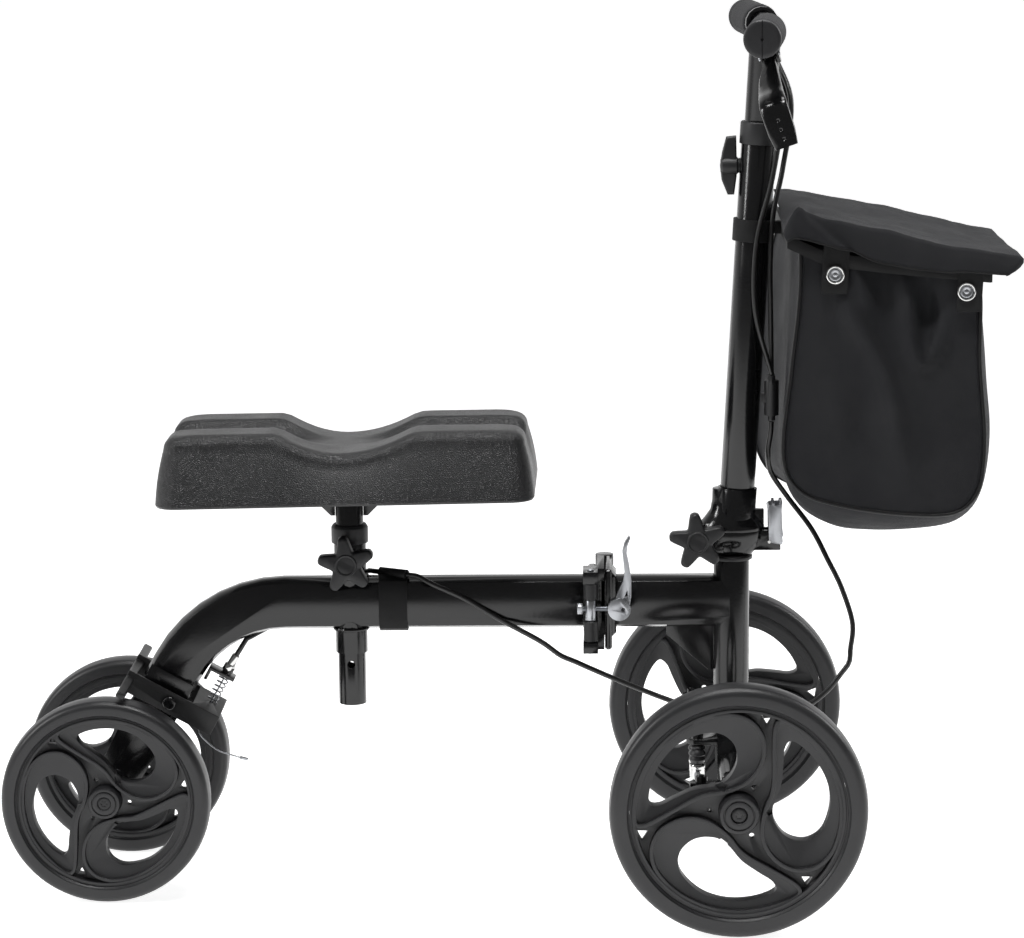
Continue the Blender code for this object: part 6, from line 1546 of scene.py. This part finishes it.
def build_stage():
    """A white floor, a camera where the photograph was taken from and soft lamps."""
    work = bmesh.new()
    bmesh.ops.create_grid(work, x_segments=1, y_segments=1, size=40)
    floor = mesh_piece("floor", work)
    floor.location = (0, 0, CAD_BOX[0][2])
    paper = bpy.data.materials.new("studio_paper")
    paper.use_nodes = True
    shader = paper.node_tree.nodes["Principled BSDF"]
    shader.inputs["Base Color"].default_value = (*colours().floor, 1)
    shader.inputs["Roughness"].default_value = 0.9
    shader.inputs["Emission Color"].default_value = (1, 1, 1, 1)
    shown = node_of(paper.node_tree, "ShaderNodeMapRange", (-400, -300))
    shown.inputs["To Max"].default_value = sizes().floor_glow
    spot = paper.node_tree.nodes.new("ShaderNodeTexCoord")
    parts = paper.node_tree.nodes.new("ShaderNodeSeparateXYZ")
    paper.node_tree.links.new(spot.outputs["Object"], parts.inputs["Vector"])
    near = node_of(paper.node_tree, "ShaderNodeMapRange", (-800, -300))
    near.inputs["From Min"].default_value = -2.4
    near.inputs["From Max"].default_value = -0.9
    paper.node_tree.links.new(parts.outputs["Y"], near.inputs["Value"])
    paper.node_tree.links.new(shown_rays(paper.node_tree, near.outputs["Result"]), shown.inputs["Value"])
    paper.node_tree.links.new(shown.outputs["Result"], shader.inputs["Emission Strength"])
    floor.data.materials.append(paper)

    world = bpy.data.worlds.new("studio")
    bpy.context.scene.world = world
    world.use_nodes = True
    tree = world.node_tree
    sky = tree.nodes["Background"]
    sky.inputs["Color"].default_value = (1, 1, 1, 1)
    aim = tree.nodes.new("ShaderNodeTexCoord")
    split = tree.nodes.new("ShaderNodeSeparateXYZ")
    tree.links.new(aim.outputs["Generated"], split.inputs["Vector"])
    backdrop = node_of(tree, "ShaderNodeMapRange", (-700, -200))
    backdrop.inputs["From Min"].default_value = -0.15
    backdrop.inputs["From Max"].default_value = 0.55
    tree.links.new(split.outputs["Y"], backdrop.inputs["Value"])
    ceiling = node_of(tree, "ShaderNodeMapRange", (-700, -400))
    ceiling.inputs["From Min"].default_value = 0.75
    ceiling.inputs["From Max"].default_value = 0.25
    tree.links.new(split.outputs["Z"], ceiling.inputs["Value"])
    wall = node_of(tree, "ShaderNodeMath", (-500, -300))
    wall.operation = "MULTIPLY"
    tree.links.new(backdrop.outputs["Result"], wall.inputs[0])
    tree.links.new(ceiling.outputs["Result"], wall.inputs[1])
    seen = node_of(tree, "ShaderNodeMapRange", (-300, 0))
    seen.inputs["To Min"].default_value = sizes().sky_light
    seen.inputs["To Max"].default_value = 1.0
    tree.links.new(shown_rays(tree, wall.outputs["Value"]), seen.inputs["Value"])
    tree.links.new(seen.outputs["Result"], sky.inputs["Strength"])

    for name, place, aim, width, height, power in (
        ("overhead_softbox", (0.1, 0.2, 2.5), (0.0, 0.0, 0.3), 1.2, 0.6, 18),
        ("front_strip", (0.0, -0.7, 2.3), (0.0, 0.0, 0.4), 1.2, 0.14, 22),
        ("left_softbox", (-2.4, -0.9, 1.6), (-0.1, 0.0, 0.4), 0.3, 1.4, 26),
        ("right_softbox", (2.4, 0.5, 1.7), (0.1, 0.0, 0.4), 0.5, 1.4, 26),
    ):
        light = bpy.data.lights.new(name, "AREA")
        light.shape = "RECTANGLE"
        light.size = width
        light.size_y = height
        light.energy = power
        lamp = bpy.data.objects.new(name, light)
        bpy.context.scene.collection.objects.link(lamp)
        lamp.location = place
        lamp.rotation_euler = (Vector(aim) - Vector(place)).to_track_quat("-Z", "Y").to_euler()

    camera = bpy.data.cameras.new("photo_camera")
    camera.lens = 121.465
    camera.sensor_width = 36
    camera.shift_x = -0.1009
    camera.clip_end = 200
    eye = bpy.data.objects.new("photo_camera", camera)
    bpy.context.scene.collection.objects.link(eye)
    turn = Matrix.Rotation(math.pi / 2 - 0.18227, 4, "X") @ Matrix.Rotation(-0.00539, 4, "Z")
    eye.matrix_world = Matrix.Translation(at(-0.10683, -3.12792, 0.96101)) @ turn
    bpy.context.scene.camera = eye
    bpy.context.scene.view_settings.view_transform = "Standard"


# Add-on
def colour_field(name, text, value):
    return bpy.props.FloatVectorProperty(
        name=name, description=text, subtype="COLOR", size=3, min=0, max=1, default=value
    )


class ScooterSizes(bpy.types.PropertyGroup):
    edge_round: bpy.props.FloatProperty(
        name="Edge rounding",
        description="Width of the rounding on moulded and cast edges",
        default=0.0006,
        unit="LENGTH",
    )
    wheel_points: bpy.props.IntProperty(
        name="Wheel points", description="Points round each wheel", default=96, min=24, max=256
    )
    sky_light: bpy.props.FloatProperty(
        name="Sky light", description="Strength of the even light from all round", default=0.16, min=0, max=2
    )
    floor_glow: bpy.props.FloatProperty(
        name="Floor glow", description="Light that the floor adds for the camera alone", default=0.86, min=0, max=1
    )


class ScooterColours(bpy.types.PropertyGroup):
    frame: colour_field("Frame", "Powder coat of tubes and castings", (0.0055, 0.0055, 0.0060))
    wheel: colour_field("Wheels", "Moulded wheel centres", (0.0175, 0.0175, 0.0190))
    tyre: colour_field("Tyres", "Solid tyres", (0.0200, 0.0200, 0.0215))
    pad: colour_field("Knee pad", "Moulded skin of the knee pad", (0.0110, 0.0110, 0.0118))
    knob: colour_field("Knobs", "Moulded knobs, collars and caps", (0.0110, 0.0110, 0.0120))
    foam: colour_field("Grips", "Foam of the grips", (0.022, 0.022, 0.024))
    cloth: colour_field("Bag", "Woven nylon of the bag", (0.0105, 0.0108, 0.0130))
    tape: colour_field("Tape", "Webbing tape and piping of the bag", (0.0040, 0.0040, 0.0044))
    chrome: colour_field("Chrome", "Snap fasteners and ball studs", (0.62, 0.62, 0.61))
    zinc: colour_field("Bright metal", "Zinc plated parts", (0.40, 0.41, 0.43))
    cable: colour_field("Cables", "Sheath of the brake cables", (0.012, 0.012, 0.012))
    floor: colour_field("Floor", "Studio floor", (0.86, 0.86, 0.86))


class SCOOTER_OT_stage(bpy.types.Operator):
    """Set up the floor, the lamps and the camera"""

    bl_idname = "scooter.stage"
    bl_label = "Stage"

    def execute(self, context):
        build_stage()
        return {"FINISHED"}


class SCOOTER_OT_wheels(bpy.types.Operator):
    """Build the four wheels with their tyres and axle bolts"""

    bl_idname = "scooter.wheels"
    bl_label = "Wheels"

    def execute(self, context):
        build_wheels()
        return {"FINISHED"}


class SCOOTER_OT_painted(bpy.types.Operator):
    """Finish the painted tubes and plates"""

    bl_idname = "scooter.painted"
    bl_label = "Painted tubes"

    def execute(self, context):
        build_model_pieces(PAINTED, "frame_paint", 0.0005)
        return {"FINISHED"}


class SCOOTER_OT_castings(bpy.types.Operator):
    """Finish the painted castings"""

    bl_idname = "scooter.castings"
    bl_label = "Castings"

    def execute(self, context):
        build_model_pieces(CAST, "casting_paint", 0.0008)
        return {"FINISHED"}


class SCOOTER_OT_plastic(bpy.types.Operator):
    """Finish the small plastic parts"""

    bl_idname = "scooter.plastic"
    bl_label = "Plastic parts"

    def execute(self, context):
        build_model_pieces(PLASTIC, "knob_plastic", 0.0006)
        return {"FINISHED"}


class SCOOTER_OT_knobs(bpy.types.Operator):
    """Build the two star knobs and the winged knob"""

    bl_idname = "scooter.knobs"
    bl_label = "Knobs"

    def execute(self, context):
        build_star_knob("seat_knob")
        build_star_knob("fold_knob")
        build_height_knob()
        return {"FINISHED"}


class SCOOTER_OT_controls(bpy.types.Operator):
    """Build the grips and the brake levers"""

    bl_idname = "scooter.controls"
    bl_label = "Grips and levers"

    def execute(self, context):
        for side in ("right", "left"):
            build_grip(side)
            build_lever(side)
        return {"FINISHED"}


class SCOOTER_OT_linkage(bpy.types.Operator):
    """Build the tie rods with their ball joints"""

    bl_idname = "scooter.linkage"
    bl_label = "Tie rods"

    def execute(self, context):
        for side in ("right", "left"):
            build_tie_rod(side)
        return {"FINISHED"}


class SCOOTER_OT_plated(bpy.types.Operator):
    """Finish the plated metal parts"""

    bl_idname = "scooter.plated"
    bl_label = "Plated parts"

    def execute(self, context):
        build_model_pieces(PLATED, "zinc_plate", 0.0003)
        build_swing_bolt()
        build_fold_latch()
        build_welds()
        build_adjuster()
        spring = from_model("brake_spring", "zinc_plate", 0.0002)
        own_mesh(spring)
        from_model("rear_brake_channel", "satin_paint", 0.0012)
        return {"FINISHED"}


class SCOOTER_OT_cables(bpy.types.Operator):
    """Build the brake cables"""

    bl_idname = "scooter.cables"
    bl_label = "Cables"

    def execute(self, context):
        build_cables()
        return {"FINISHED"}


class SCOOTER_OT_soft(bpy.types.Operator):
    """Build the knee pad, the bag and its lid"""

    bl_idname = "scooter.soft"
    bl_label = "Soft parts"

    def execute(self, context):
        build_pad()
        build_bag()
        build_lid()
        from_model("cable_strap", "bag_tape", 0.0004)
        from_model("bag_carrier", "bag_tape", 0.0004)
        return {"FINISHED"}


OPERATORS = (
    SCOOTER_OT_stage,
    SCOOTER_OT_cables,
    SCOOTER_OT_wheels,
    SCOOTER_OT_painted,
    SCOOTER_OT_castings,
    SCOOTER_OT_plastic,
    SCOOTER_OT_knobs,
    SCOOTER_OT_controls,
    SCOOTER_OT_linkage,
    SCOOTER_OT_plated,
    SCOOTER_OT_soft,
)


class SCOOTER_PT_pieces(bpy.types.Panel):
    """Lists the pieces of the scooter"""

    bl_idname = "SCOOTER_PT_pieces"
    bl_label = "Knee scooter"
    bl_space_type = "VIEW_3D"
    bl_region_type = "UI"
    bl_category = "Knee scooter"

    def draw(self, context):
        for operator in OPERATORS:
            self.layout.operator(operator.bl_idname)


CLASSES = (ScooterSizes, ScooterColours, *OPERATORS, SCOOTER_PT_pieces)


def register():
    for item in CLASSES:
        bpy.utils.register_class(item)
    bpy.types.Scene.scooter_sizes = bpy.props.PointerProperty(type=ScooterSizes)
    bpy.types.Scene.scooter_colours = bpy.props.PointerProperty(type=ScooterColours)


def unregister():
    del bpy.types.Scene.scooter_colours
    del bpy.types.Scene.scooter_sizes
    for item in reversed(CLASSES):
        bpy.utils.unregister_class(item)


def main():
    register()
    bpy.ops.scooter.stage()
    bpy.ops.scooter.cables()
    bpy.ops.scooter.wheels()
    bpy.ops.scooter.painted()
    bpy.ops.scooter.castings()
    bpy.ops.scooter.plastic()
    bpy.ops.scooter.knobs()
    bpy.ops.scooter.controls()
    bpy.ops.scooter.linkage()
    bpy.ops.scooter.plated()
    bpy.ops.scooter.soft()


if __name__ == "__main__":
    main()
